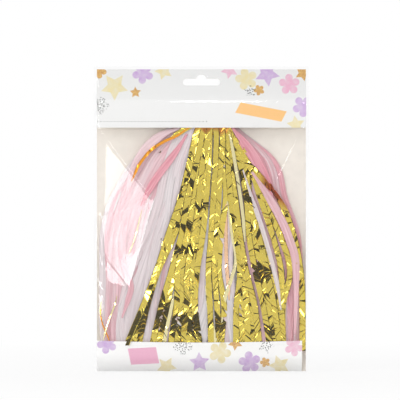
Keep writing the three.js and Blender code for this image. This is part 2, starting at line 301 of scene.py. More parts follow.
def header_depth(z):
    """How far the header's inner face stands in front of the panel: a quarter wave from its crease."""
    return CREASE_GAP + (BOW_DEPTH - CREASE_GAP) * quarter_wave((HEADER_HIGH.z - z) / HEADER_BOW)


def footer_depth(z):
    """How far the footer's inner face stands in front of the panel: a quarter wave from its crease."""
    return CREASE_GAP + (BOW_DEPTH - CREASE_GAP) * quarter_wave((z - FOOTER_LOW.z) / FOOTER_BOW)


def grid_faces(rows, columns, copies=1):
    """Quads over a grid of rows and columns, for each of several grids that follow one another."""
    index = np.arange(copies * rows * columns).reshape(copies, rows, columns)
    corners = [index[:, :-1, :-1], index[:, 1:, :-1], index[:, 1:, 1:], index[:, :-1, 1:]]
    return np.stack(corners, -1).reshape(-1, 4)


def closed_sheet(front, back):
    """A closed solid between two grids of points: both grids' faces, and a rim that joins them."""
    rows, columns = front.shape[:2]
    index = np.arange(rows * columns).reshape(rows, columns)
    faces = grid_faces(rows, columns)
    rim = np.concatenate([index[0, :-1], index[:-1, -1], index[-1, :0:-1], index[:0:-1, 0]])
    beyond = np.roll(rim, -1)
    back_faces = faces[:, ::-1] + rows * columns
    rim_faces = np.stack([rim, beyond, beyond + rows * columns, rim + rows * columns], 1)
    points = np.concatenate([front.reshape(-1, 3), back.reshape(-1, 3)])
    return points, np.concatenate([faces, back_faces, rim_faces])


def add_piece(name, points, faces, materials=(), uv=None, shaded_smooth=True):
    """A new object with this mesh. faces is an array or a list, and uv holds one pair for each point."""
    mesh = bpy.data.meshes.new(name)
    mesh.from_pydata(points.reshape(-1, 3).tolist(), [], faces if isinstance(faces, list) else faces.tolist())
    for material in materials:
        mesh.materials.append(material)
    if uv is not None:
        layer = mesh.uv_layers.new(name="UVMap")
        corners = np.zeros(len(mesh.loops), np.int32)
        mesh.loops.foreach_get("vertex_index", corners)
        layer.data.foreach_set("uv", uv.reshape(-1, 2)[corners].astype(np.float32).ravel())
    mesh.shade_smooth() if shaded_smooth else mesh.shade_flat()
    mesh.validate()
    piece = bpy.data.objects.new(name, mesh)
    bpy.context.scene.collection.objects.link(piece)
    return piece


def add_tint(piece, colours):
    """Stores one linear colour for each point, for the material to read."""
    layer = piece.data.color_attributes.new("tint", "FLOAT_COLOR", "POINT")
    layer.data.foreach_set("color", np.asarray(colours, np.float32).ravel())


def thicken(piece, thickness):
    """Gives a sheet its thickness, behind its face."""
    wall = piece.modifiers.new("paper", "SOLIDIFY")
    wall.thickness = thickness
    wall.offset = -1
    wall.use_even_offset = False


def bake_modifiers(piece):
    """Puts what the piece's modifiers make into its own mesh."""
    seen = bpy.context.evaluated_depsgraph_get()
    plain = piece.data
    piece.data = bpy.data.meshes.new_from_object(piece.evaluated_get(seen))
    piece.modifiers.clear()
    bpy.data.meshes.remove(plain)


def paint_node(node, material):
    """Gives a CAD node that stays in view its material."""
    materials = frame["nodes"][node].data.materials
    materials.clear()
    materials.append(material)


def hand_over(piece, node):
    """The piece stands for this CAD node and moves with its body, and the node is hidden."""
    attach(piece, frame["nodes"][node]["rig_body"])
    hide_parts(node)


# Materials


def add_node(tree, kind, feeds=(), out=0, **settings):
    """Adds a node with its settings and links, and returns one of its outputs. feeds gives a socket or
    a value for its inputs, in their order, or by name or number in a dictionary."""
    made = tree.nodes.new(kind if kind.startswith("NodeGroup") else f"ShaderNode{kind}")
    for name, value in settings.items():
        setattr(made, name, value)
    for key, value in feeds.items() if isinstance(feeds, dict) else enumerate(feeds):
        if isinstance(value, bpy.types.NodeSocket):
            tree.links.new(value, made.inputs[key])
        else:
            made.inputs[key].default_value = value
    return made.outputs[out] if len(made.outputs) else None


def new_nodes(owner):
    """Empties the tree of a material or world, and returns the function that adds nodes to it."""
    owner.use_nodes = True
    owner.node_tree.nodes.clear()
    return partial(add_node, owner.node_tree)


def new_material(name, surface, *given):
    """A material with the shader that surface(add, ...) returns."""
    material = bpy.data.materials.new(name)
    add = new_nodes(material)
    add("OutputMaterial", (surface(add, *given),))
    return material


# Half the width over which a printed edge softens
PRINT_EDGE = 0.1 * MM


def motif_group(name, edge_of):
    """A node group that is 1 inside a printed shape and 0 outside it. edge_of(add, angle, radius)
    gives the distance from the shape's middle to its edge at an angle. Places lie in the XZ plane."""
    tree = bpy.data.node_groups.new(name, "ShaderNodeTree")
    add = partial(add_node, tree)
    for label, kind in (("Place", "Vector"), ("Middle", "Vector"), ("Radius", "Float"), ("Turn", "Float")):
        tree.interface.new_socket(name=label, in_out="INPUT", socket_type=f"NodeSocket{kind}")
    tree.interface.new_socket(name="Inside", in_out="OUTPUT", socket_type="NodeSocketFloat")
    given = add("NodeGroupInput").node.outputs
    offset = add("VectorMath", (given["Place"], given["Middle"]), operation="SUBTRACT")
    away = add("VectorMath", (offset,), "Value", operation="LENGTH")
    x, _, z = add("SeparateXYZ", (offset,)).node.outputs
    angle = add("Math", (add("Math", (z, x), operation="ARCTAN2"), given["Turn"]), operation="ADD")
    gap = add("Math", (edge_of(add, angle, given["Radius"]), away), operation="SUBTRACT")
    add("NodeGroupOutput", (add("MapRange", (gap, -PRINT_EDGE, PRINT_EDGE)),))


def star_edge(add, angle, radius):
    """A straight-sided star of five points: with a the angle from the nearest point, n the angle from
    a point to a notch and c the notch's share, R c sin(n) / (sin(a) + c sin(n - a))."""
    notch, share = math.pi / 5, 0.5
    near = add("Math", (angle, notch), operation="PINGPONG")
    left = add("Math", (notch, near), operation="SUBTRACT")
    near, left = (add("Math", (value,), operation="SINE") for value in (near, left))
    below = add("Math", (left, share, near), operation="MULTIPLY_ADD")
    above = add("Math", (radius, share * math.sin(notch)), operation="MULTIPLY")
    return add("Math", (above, below), operation="DIVIDE")


def blossom_edge(add, angle, radius):
    """A blossom of five petals: R (0.4 + 0.6 |cos(5 angle / 2)|^0.5)."""
    wave = add("Math", (add("Math", (angle, 2.5), operation="MULTIPLY"),), operation="COSINE")
    petal = add("Math", (add("Math", (wave,), operation="ABSOLUTE"), 0.5), operation="POWER")
    reach = add("Math", (petal, 0.6, 0.4), operation="MULTIPLY_ADD")
    return add("Math", (radius, reach), operation="MULTIPLY")


def patch_mask(add, place, middle, size, turn, slant):
    """1 inside a slanted rectangle: its own axes are turned, and each row is shifted by slant. The
    distance along each axis is the product of a vector and the offset from the middle."""
    offset = add("VectorMath", (place, middle), operation="SUBTRACT")
    c, s = math.cos(turn), math.sin(turn)
    inside = 1.0
    for axis, whole in (((c - slant * s, 0, s + slant * c), size[0]), ((-s, 0, c), size[1])):
        along = add("VectorMath", (offset, axis), "Value", operation="DOT_PRODUCT")
        away = add("Math", (along,), operation="ABSOLUTE")
        edge = add("MapRange", (away, whole / 2 + PRINT_EDGE, whole / 2 - PRINT_EDGE))
        inside = add("Math", (inside, edge), operation="MULTIPLY")
    return inside


def dotted_rule(add, x, z, row, end):
    """1 in the dots of a rule, 2.9 mm apart and 1.1 mm wide, which runs along a row up to its end."""
    pitch, radius = 2.9 * MM, 0.55 * MM
    along = add("Math", (add("Math", (x, pitch), operation="PINGPONG"), pitch / 2), operation="SUBTRACT")
    up = add("Math", (z, row), operation="SUBTRACT")
    away = add("VectorMath", (add("CombineXYZ", (along, up)),), "Value", operation="LENGTH")
    dots = add("Math", (away, radius), operation="LESS_THAN")
    return add("Math", (dots, add("Math", (x, end), operation="LESS_THAN")), operation="MULTIPLY")


# The print: shape, fill, middle in shares of the card's half width and the flap's height, size, turn
HEADER_MOTIFS = [
    ("star", "cream", (-0.83, 0.70), 12 * MM, 0.3),
    ("blossom", "lilac", (-0.56, 0.93), 9 * MM, 0.4),
    ("star", "glitter", (-0.63, 0.60), 5 * MM, 0.9),
    ("blossom", "speckle", (-0.97, 0.38), 8 * MM, 0.1),
    ("star", "cream", (-0.36, 0.97), 8 * MM, 0.6),
    ("blossom", "glitter", (-0.98, 0.97), 6.5 * MM, 0.2),
    ("star", "rose", (0.27, 0.98), 7.5 * MM, 0.5),
    ("blossom", "cream", (0.43, 0.83), 9.5 * MM, 0.7),
    ("star", "lilac", (0.63, 0.92), 11 * MM, 0.2),
    ("blossom", "glitter", (0.55, 0.64), 4.6 * MM, 0.5),
    ("star", "speckle", (0.47, 0.62), 6 * MM, 0.9),
    ("blossom", "rose", (0.84, 0.74), 9 * MM, 0.9),
    ("star", "glitter", (0.97, 0.93), 7 * MM, 0.1),
    ("blossom", "lilac", (0.97, 0.36), 9 * MM, 0.3),
    ("star", "cream", (0.90, 0.05), 8 * MM, 0.8),
]
FOOTER_MOTIFS = [
    ("blossom", "lilac", (-0.92, 0.9), 8.5 * MM, 0.5),
    ("star", "cream", (-0.34, 0.16), 9 * MM, 0.2),
    ("blossom", "speckle", (-0.18, 0.86), 8.5 * MM, 0.3),
    ("star", "lilac", (-0.02, 0.3), 9 * MM, 0.9),
    ("blossom", "cream", (0.18, 0.62), 9.5 * MM, 0.1),
    ("star", "glitter", (0.33, 0.92), 6.5 * MM, 0.4),
    ("blossom", "lilac", (0.47, 0.3), 9.5 * MM, 0.8),
    ("star", "speckle", (0.63, 0.86), 7.5 * MM, 0.1),
    ("star", "cream", (0.76, 0.2), 9.5 * MM, 0.6),
    ("blossom", "glitter", (0.62, 0.3), 4.4 * MM, 0.6),
    ("blossom", "rose", (0.9, 0.8), 8 * MM, 0.2),
]


def printed_colour(add, place, settings, ground, low, high, motifs, patches, rule):
    """The flap's ground with its motifs, patches and rule over it, on Object coordinates. A wash has
    soft clouds of watercolour, glitter has grains of 0.9 mm, and speckle is dark dots 1.6 mm apart,
    on the bare ground."""
    x, _, z = add("SeparateXYZ", (place,)).node.outputs
    flat = add("CombineXYZ", {0: x, 2: z})
    cloud = add("TexNoise", {"Vector": place, "Scale": 1 / (4 * MM), "Detail": 3.0})
    wash = add("MapRange", (cloud, 0.3, 0.7, 0.6, 1.0))
    grain = add("TexNoise", {"Vector": place, "Scale": 1 / (0.9 * MM), "Detail": 2.0})
    grain = add("MapRange", (grain, 0.4, 0.62))
    glitter = add("Mix", {0: grain, 6: linear("#C98A2B"), 7: settings.amber[:]}, 2, data_type="RGBA")
    feeds = {"Vector": add("CombineXYZ", (x, z)), "Scale": 1 / (1.6 * MM)}
    dots = add("TexVoronoi", feeds, "Distance", voronoi_dimensions="2D")
    speckle = add("MapRange", (dots, 0.3, 0.22))
    covers = {"glitter": (0.9, glitter), "speckle": (speckle, settings.ink[:])}
    layers = []
    for shape, fill, (across, up), radius, turn in motifs:
        middle = (across * (high.x - low.x) / 2, 0, low.z + (high.z - low.z) * up)
        inside = add("Group", (flat, middle, radius, turn), node_tree=bpy.data.node_groups[shape])
        cover, ink = covers.get(fill) or (wash, getattr(settings, fill)[:])
        layers.append((add("Math", (inside, cover), operation="MULTIPLY"), ink))
    for fill, middle, *form in patches:
        layers.append((patch_mask(add, flat, middle, *form), getattr(settings, fill)[:]))
    if rule is not None:
        share = add("Math", (dotted_rule(add, x, z, *rule), 0.5), operation="MULTIPLY")
        layers.append((share, settings.ink[:]))
    shown = ground[:]
    for share, ink in layers:
        shown = add("Mix", {0: share, 6: shown, 7: ink}, 2, data_type="RGBA")
    return shown


def card_surface(add, *print_of):
    """Coated folding boxboard, offset printed: bright and smooth, with a satin sheen, and the faint
    mottle of board under its coating."""
    place = add("TexCoord", out="Object")
    shown = printed_colour(add, place, *print_of)
    mottle = add("TexNoise", {"Vector": place, "Scale": 1 / (1.5 * MM), "Detail": 4.0})
    relief = add("Bump", {"Strength": 0.08, "Distance": 0.05 * MM, "Height": mottle})
    return add("BsdfPrincipled", {"Base Color": shown, "Roughness": 0.42, "Normal": relief})


def liner_surface(add, settings):
    """Uncoated grey-back board: a matt warm grey, with the soft clouds and short flecks of its pulp."""
    place = add("TexCoord", out="Object")
    cloud = add("TexNoise", {"Vector": place, "Scale": 1 / (9 * MM), "Detail": 5.0})
    fibre = add("TexNoise", {"Vector": place, "Scale": 1 / (0.9 * MM), "Detail": 2.0})
    cloud = add("MapRange", (cloud, 0.3, 0.7, 0.955, 1.02))
    fleck = add("MapRange", {0: fibre, 3: 0.985, 4: 1.01})
    shade = add("Math", (cloud, fleck), operation="MULTIPLY")
    shown = add("VectorMath", {0: settings.liner[:3], "Scale": shade}, operation="SCALE")
    relief = add("Bump", {"Strength": 0.25, "Distance": 0.05 * MM, "Height": fibre})
    return add("BsdfPrincipled", {"Base Color": shown, "Roughness": 0.85, "Normal": relief})


def strip_pattern(add, width, length, detail):
    """The tint of a strip's points, and a noise that is stretched along the strip, with patches about
    this wide and long."""
    tint = add("Attribute", out="Color", attribute_name="tint")
    place = add("Mapping", {0: add("UVMap", uv_map="UVMap"), "Scale": (1 / width, 1 / length, 1)})
    return tint, add("TexNoise", {"Vector": place, "Scale": 1.0, "Detail": detail})


def foil_surface(add):
    """Vacuum-metallised polyester film: a mirror of its surroundings in gold, with fine scuffs that
    run along each strip, 0.5 mm wide and 12 mm long. The crumples are in the mesh."""
    tint, scuff = strip_pattern(add, 0.5 * MM, 12 * MM, 2.0)
    relief = add("Bump", {"Strength": 0.05, "Distance": 0.03 * MM, "Height": scuff})
    feeds = {"Base Color": tint, "Metallic": 1.0, "Roughness": 0.07, "Normal": relief}
    return add("BsdfPrincipled", feeds)


def tissue_surface(add):
    """Dyed tissue paper, machine glazed on one side: thin and soft, so that light and the colours
    behind it come through, with pale streaks along its grain, 1.6 mm wide and 40 mm long, whose pale share
    also paints a lengthwise sheen into its colour."""
    tint, grain_and_sheen = strip_pattern(add, 1.6 * MM, 40 * MM, 3.0)
    # Painted sheen: the streaks' pale share lightens the paper's colour along each strand
    share = add("MapRange", (grain_and_sheen, 0.4, 0.75, 0.0, 0.45))
    shown = add("Mix", {0: share, 6: tint, 7: linear("#FFF7F8")}, 2, data_type="RGBA")
    relief = add("Bump", {"Strength": 0.08, "Distance": 0.1 * MM, "Height": grain_and_sheen})
    solid = add("MapRange", (grain_and_sheen, 0.3, 0.7, 0.5, 0.8))
    face = add("BsdfPrincipled", {"Base Color": shown, "Roughness": 0.5, "Alpha": solid, "Normal": relief})
    glow = add("BsdfTranslucent", {"Color": shown, "Normal": relief})
    return add("MixShader", (0.12, face, glow))


def film_surface(add, settings):
    """Cast polypropylene film: clear, with a mirror gloss off its two faces that shows each fold."""
    slack = add("TexNoise", {"Vector": add("TexCoord", out="Object"), "Scale": 1 / (22 * MM), "Detail": 2.0})
    relief = add("Bump", {"Strength": 0.2, "Distance": 0.6 * MM, "Height": slack})
    through = add("BsdfTransparent", (settings.tint[:],))
    gloss = add("BsdfGlossy", {"Color": (1, 1, 1, 1), "Roughness": 0.05, "Normal": relief})
    # Schlick's formula, the same on both sides of the film: 0.016 head on, rising to 1 edge on
    facing = add("LayerWeight", {"Blend": 0.5, "Normal": relief}, "Facing")
    steep = add("Math", (facing, 5.0), operation="POWER")
    share = add("Math", (steep, 0.984, 0.016), operation="MULTIPLY_ADD")
    return add("MixShader", (share, through, gloss))


def tape_surface(add):
    """Clear adhesive tape: glossy, faintly yellow, and a little cloudy where its glue has set."""
    cloud = add("TexNoise", {"Vector": add("TexCoord", out="Object"), "Scale": 1 / (5 * MM), "Detail": 3.0})
    haze = add("MapRange", {0: cloud, 3: 0.22, 4: 0.45})
    return add("BsdfPrincipled", {"Base Color": linear("#F4EFDC"), "Roughness": 0.12, "Alpha": haze})


# The card


def slot_outline(steps=10):
    """The hang slot's outline, anticlockwise: a bar with round ends, and a hump on its upper side."""
    end, hump = SLOT_HEIGHT / 2, SLOT_HUMP_WIDTH / 2
    straight = SLOT_WIDTH / 2 - end
    hump_z = end + SLOT_HUMP_HEIGHT - hump
    lift = math.asin((end - hump_z) / hump)
    left = np.linspace(np.pi / 2, np.pi * 1.5, steps)
    right = np.linspace(-np.pi / 2, np.pi / 2, steps)
    top = np.linspace(lift, np.pi - lift, steps)
    arcs = [(-straight, 0, end, left), (straight, 0, end, right), (0, hump_z, hump, top)]
    return np.concatenate([np.stack([x + r * np.cos(a), z + r * np.sin(a)], 1) for x, z, r, a in arcs])


def punch_slot(piece):
    """Cuts the hang slot through a piece."""
    outline = slot_outline()
    size = len(outline)
    near = np.stack([outline[:, 0], np.full(size, -CUTTER_REACH), outline[:, 1]], 1)
    far = near + [0, 2 * CUTTER_REACH, 0]
    around = np.arange(size)
    beyond = np.roll(around, -1)
    sides = np.stack([around, around + size, beyond + size, beyond], 1).tolist()
    ends = [around.tolist(), (around[::-1] + size).tolist()]
    cutter = add_piece("slot_cutter", np.concatenate([near, far]), sides + ends, shaded_smooth=False)
    cut = piece.modifiers.new("slot", "BOOLEAN")
    cut.operation = "DIFFERENCE"
    cut.object = cutter
    cut.solver = "EXACT"
    bake_modifiers(piece)
    shape = cutter.data
    bpy.data.objects.remove(cutter)
    bpy.data.meshes.remove(shape)


def paint_inside(piece):
    """Gives the faces that look away from the viewer the second material, and keeps the rims sharp."""
    looks_away, sharp_angle = 0.3, math.radians(40)
    normals = np.zeros(len(piece.data.polygons) * 3, np.float32)
    piece.data.polygons.foreach_get("normal", normals)
    inner = (normals.reshape(-1, 3)[:, 1] > looks_away).astype(np.int32)
    piece.data.polygons.foreach_set("material_index", inner)
    piece.data.set_sharp_from_angle(angle=sharp_angle)


def add_flap(name, x, z, depth, materials):
    """A flap: its outer face lies a card's thickness in front of its inner one, at this depth."""
    inner = np.stack([x, -depth, z], -1)
    return add_piece(name, *closed_sheet(inner - [0, CARD_THICKNESS, 0], inner), materials)


class TASSEL_PACK_OT_card(bpy.types.Operator):
    """Print the header and the footer, and give the panel and the tape their finish"""

    bl_idname = "tassel_pack.card"
    bl_label = "Card"

    def execute(self, context):
        settings = context.scene.tassel_pack.card
        motif_group("star", star_edge)
        motif_group("blossom", blossom_edge)
        liner = new_material("uncoated_board", liner_surface, settings)
        across, down = np.meshgrid(np.linspace(0, 1, FLAP_COLUMNS), np.linspace(0, 1, FLAP_ROWS))

        # The label and the tag: fill, middle, size, turn and slant
        label = ("orange", picture_place(261, 112), (40 * MM, 9.5 * MM), math.radians(-11), -0.3)
        rule = (float(picture_z(121.5)), float(picture_x(208)))
        printed = (settings.white, HEADER_LOW, HEADER_HIGH, HEADER_MOTIFS, [label], rule)
        board = new_material("coated_board_header", card_surface, settings, *printed)
        x = HEADER_LOW.x + (HEADER_HIGH.x - HEADER_LOW.x) * across
        z = HEADER_HIGH.z - (HEADER_HIGH.z - HEADER_LOW.z) * down
        header = add_flap("header_card", x, z, header_depth(z), [board, liner])
        punch_slot(header)
        paint_inside(header)
        hand_over(header, "header_flap")

        tag = ("rose", picture_place(143.5, 356), (24 * MM, 14 * MM), math.radians(3), 0.15)
        # The footer's ground is painted lighter than the header's, against the shade where the footer bows
        # down
        printed = (settings.footer_white, FOOTER_LOW, FOOTER_HIGH, FOOTER_MOTIFS, [tag], None)
        board = new_material("coated_board_footer", card_surface, settings, *printed)
        x = FOOTER_LOW.x + (FOOTER_HIGH.x - FOOTER_LOW.x) * across
        height = FOOTER_HIGH.z - FOOTER_LOW.z - FOOTER_DIP * np.sin(np.pi * across)
        z = FOOTER_LOW.z + height * (1 - down)
        footer = add_flap("footer_card", x, z, footer_depth(z), [board, liner])
        paint_inside(footer)
        hand_over(footer, "footer_flap")

        paint_node("backing_panel", liner)
        paint_node("head_strap", new_material("clear_tape", tape_surface))
        return {"FINISHED"}


# The fringes


def ribbon_points(x, y, z, half_width, turn, across, relief, slide=0.0):
    """Ribbons along lines. Each follows its own row of x, y and z. With T the line's direction, A the
    direction across it and N the one towards the viewer, both turned about T, a point lies at
    line + half_width across A + relief N + slide T."""
    dx, dz = (np.pad(value[:, 2:] - value[:, :-2], ((0, 0), (1, 1)), mode="edge") for value in (x, z))
    step = np.hypot(dx, dz)
    ux, uz = (dx / step)[..., None], (dz / step)[..., None]
    c, s = np.cos(turn)[..., None], np.sin(turn)[..., None]
    out = half_width[..., None] * across
    px = x[..., None] - out * uz * c + relief * uz * s + slide * ux
    py = y[..., None] - out * s - relief * c
    pz = z[..., None] + out * ux * c - relief * ux * s + slide * uz
    return np.stack([px, py, pz], -1)


def add_fringe(name, points, tints, widths, material, faceted=False):
    """One mesh of many ribbons, with its pattern laid along them in real size. Where a ribbon comes
    nearer to the panel than s = 0.5 mm, its depth d becomes s exp(d / s - 1), so it never gets through.
    A faceted one is flat shaded, and its faces are cut in two along alternate diagonals."""
    count, rows, columns = points.shape[:3]
    shallow = 0.5 * MM
    depth = -points[..., 1]
    pressed = shallow * np.exp(np.minimum(depth / shallow - 1, 0))
    points[..., 1] = -np.where(depth < shallow, pressed, depth) - PAPER_THICKNESS
    faces = grid_faces(rows, columns, count)
    if faceted:
        odd = np.arange(len(faces)) % 2 == 1
        turned = np.where(odd[:, None], np.roll(faces, 1, 1), faces)
        faces = np.concatenate([turned[:, [0, 1, 2]], turned[:, [0, 2, 3]]])
    steps = np.linalg.norm(np.diff(points[:, :, columns // 2], axis=1), axis=2)
    along = np.concatenate([np.zeros((count, 1)), np.cumsum(steps, 1)], 1)[..., None]
    side = np.linspace(0, 1, columns) * widths[:, None, None] + np.arange(count)[:, None, None] * RIBBON_STEP
    uv = np.stack(np.broadcast_arrays(side, along), -1)
    piece = add_piece(name, points, faces, [material], uv, not faceted)
    by_row = tints if tints.ndim == 3 else tints[:, None]
    add_tint(piece, np.broadcast_to(by_row[:, :, None], (count, rows, columns, 4)))
    thicken(piece, PAPER_THICKNESS)
    return piece


def toward_white(colour, share):
    """The colour with this share of white in it."""
    return colour * (1 - share) + share


# The rows of the picture at which the fringes' edges and the front strips' middles are given: behind
# the header at the neck, at the header's edge, five between, at the footer's edge and at the tips
STRIP_ROWS = (113, 129, 160, 200, 235, 270, 305, 341, 351)

# Left and right edge of each kind of fan at those rows, in the picture's pixel columns. The first
# one, at the neck, is measured from the tassel's head.
FAN_COLUMNS = {
    "left": ((-6, 168, 133, 108, 99, 98.5, 98.5, 98.5, 99), (6, 204, 197, 187, 179, 173, 168, 165, 164)),
    "right": ((-6, 222, 226, 235, 243, 246, 250, 252, 252), (6, 238, 276, 289, 301, 304, 304.3, 304.3, 304)),
    "middle": ((-6, 192, 185, 179, 173, 169, 165, 161, 160), (6, 230, 234, 237, 241, 244, 248, 251, 252)),
    "wide": ((-6, 178, 162, 150, 138, 126, 117, 114, 114), (6, 233, 236, 241, 247, 251, 255, 257, 258)),
    "inner_left": ((-6, 172, 155, 149, 143, 140, 137, 135, 135), (6, 207, 200, 191, 181, 177, 173, 171, 170)),
}

# Each tassel's fan, from the panel to the front, and how many strands it has behind the front one
FANS = (
    "left right left right middle middle "
    "left right left right middle middle "
    "inner_left right left right wide front"
).split()
STRAND_COUNTS = (16, 12, 12, 12, 10, 12, 18, 12, 18, 14, 10, 12, 6, 15, 17, 14, 20)
ROW_SHARES = (STRIP_ROWS - np.float64(STRIP_ROWS[0])) / (STRIP_ROWS[-1] - STRIP_ROWS[0])
TOP, BOTTOM = picture_z(STRIP_ROWS[0]), picture_z(STRIP_ROWS[-1])

# Strands that lie over the rest: their tassel's index, how much paler than its paper they are, width
# and depth in mm, and their places in the picture's pixels
LOOSE_STRANDS = [
    (14, 0.0, 6.5, 9.0, [(187, 134), (177, 150), (166, 165), (157, 177), (149, 190), (141, 206)]),
    (14, 0.6, 8.0, 8.3, [(180, 128), (163, 134), (149, 145), (139, 159), (132, 176), (127, 192)]),
    (14, 0.25, 5.0, 9.3, [(118, 250), (122, 262), (127, 274), (131, 287), (128, 300), (122, 318)]),
    (15, 0.0, 9.0, 8.7, [(232, 128), (241, 139), (252, 154), (261, 170), (268, 187), (272, 205)]),
    (15, 0.4, 7.0, 10.8, [(252, 172), (264, 190), (279, 215), (290, 241), (296, 268), (295, 335)]),
    (11, 0.3, 4.0, 10.7, [(243, 170), (252, 198), (262, 228), (270, 255), (277, 283), (281, 310)]),
]

# The outline of all the fringes at those rows, in pixel columns
OUTLINE_COLUMNS = (
    (190, 173, 137, 111, 98, 96, 95.5, 95.5, 96),
    (222, 234, 273, 286, 300, 304, 305, 304, 304),
)


def pressed_depth(x, z, depth):
    """A layer's depth: full in the middle, and less near the fringes' outline, where they thin out."""
    share = (TOP - z) / (TOP - BOTTOM)
    edges = [np.tile(picture_x(side), (len(x), 1)) for side in OUTLINE_COLUMNS]
    left, right = (curve(ROW_SHARES, edge, share) for edge in edges)
    inside = np.minimum(x - left, right - x)
    return depth * (EDGE_PRESS_SHARE + (1 - EDGE_PRESS_SHARE) * smooth(inside, 0, EDGE_PRESS_REACH))


def tassel(index, part):
    """The name of a part of a tassel."""
    return f"tassel_{index + 1:02d}_{part}"


def head_place(index):
    """Where the tassel's head stands across the card: its hinge's place in the record."""
    return frame["record"]["behaviour"]["joints"][FIRST_SWING + index]["pos_m"][0]


def fan_lines(index, at, rng, half):
    """The lines of one fringe's strands at shares of its length. Each strand keeps its own share of
    the way between the fan's two edges, less its own half width at both, and wanders from it by a
    wave that grows below the band."""
    count = len(at)
    edges = np.array(FAN_COLUMNS[FANS[index]], float)
    values = picture_x(edges)
    values[:, 0] = head_place(index) + edges[:, 0] * PIXEL
    left, right = (curve(ROW_SHARES, np.tile(side, (count, 1)), at) for side in values)
    draw = partial(rng.uniform, size=(count, 1))
    even = (np.arange(count)[:, None] + 0.5 + draw(-0.4, 0.4)) / count
    phase = draw(0, 2 * np.pi)
    wander = draw(0.02, 0.09) * smooth(at, 0.08, 0.5)
    share = np.clip(even + wander * np.sin(2 * np.pi * draw(0.5, 1.5) * at + phase), 0.01, 0.99)
    end = draw(-1.5, 1.5) * MM
    inset = np.minimum(half, (right - left) * 0.4)
    return left + inset + (right - left - 2 * inset) * share, TOP + (BOTTOM + end - TOP) * at


class TASSEL_PACK_OT_tissue(bpy.types.Operator):
    """Lay the pink and white tissue fringes"""

    bl_idname = "tassel_pack.tissue"
    bl_label = "Tissue fringes"

    def execute(self, context):
        settings = context.scene.tassel_pack.tissue
        paper = new_material("tissue_paper", tissue_surface)
        for index, colour_name in enumerate(COLOURS):
            if colour_name != "gold":
                self.fringe(settings, paper, index, colour_name)
        for number, row in enumerate(LOOSE_STRANDS):
            self.loose(settings, paper, number, *row)
        return {"FINISHED"}

    def fringe(self, settings, paper, index, colour_name):
        """One tassel's fringe: each strip turns slowly about its line and is pleated lengthwise."""
        rng = np.random.default_rng(100 + index)
        count = STRAND_COUNTS[index]
        draw = partial(rng.uniform, size=(count, 1))
        at = np.tile(np.linspace(0, 1, STRAND_ROWS), (count, 1))
        widths = settings.strip_width * rng.uniform(0.7, 1.9, count)
        half = widths[:, None] / 2 * (0.35 + 0.65 * smooth(at, 0.0, 0.12))
        x, z = fan_lines(index, at, rng, half)
        y = -pressed_depth(x, z, FIRST_LAYER + index * LAYER_PITCH + draw(-0.2, 0.2) * MM)
        phase = draw(0, 2 * np.pi)
        turn = 0.7 * MM / half * np.sin(at * draw(3, 8) + phase) * smooth(at, 0.05, 0.3)
        folds = draw(0.8, 1.9)[..., None]
        fold_phase = (phase + draw(-3, 3) * at)[..., None]
        relief = settings.pleat / 2 * np.cos(np.pi * folds * STRAND_ACROSS + fold_phase)
        points = ribbon_points(x, y, z, half, turn, STRAND_ACROSS, relief)
        base, blush = np.array(getattr(settings, colour_name)[:]), np.array(settings.pink[:])
        pinker = draw(0, 0.6) ** 2 * (colour_name == "white")
        paler = draw(*((0.1, 0.6) if FANS[index] == "right" else (0.3, 0.95)))
        tints = toward_white(base, paler) * (1 - pinker) + blush * pinker
        piece = add_fringe(tassel(index, "strands"), points, tints, widths, paper)
        hand_over(piece, tassel(index, "fringe"))

    def loose(self, settings, paper, number, index, paler, width, depth, places):
        """One strand that lies over the others of its tassel, and moves with it."""
        columns, rows = np.array(places, float).T
        stations = np.linspace(0, 1, len(places))
        at = np.linspace(0, 1, LOOSE_ROWS)[None]
        x = curve(stations, picture_x(columns)[None], at)
        z = curve(stations, picture_z(rows)[None], at)
        half = width * MM / 2 * (0.3 + 0.7 * smooth(at, 0, 0.35) * smooth(at, 1, 0.75))
        relief = settings.pleat / 2 * np.cos(4 * STRAND_ACROSS + 3 * at[..., None])
        turn = 0.25 * np.sin(5 * at + number)
        points = ribbon_points(x, -depth * MM + 0 * at, z, half, turn, STRAND_ACROSS, relief)
        tints = toward_white(np.array(getattr(settings, COLOURS[index])[:]), paler)[None]
        name = tassel(index, f"loose_strand_{number + 1}")
        piece = add_fringe(name, points, tints, np.array([width * MM]), paper)
        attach(piece, frame["nodes"][tassel(index, "fringe")]["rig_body"])


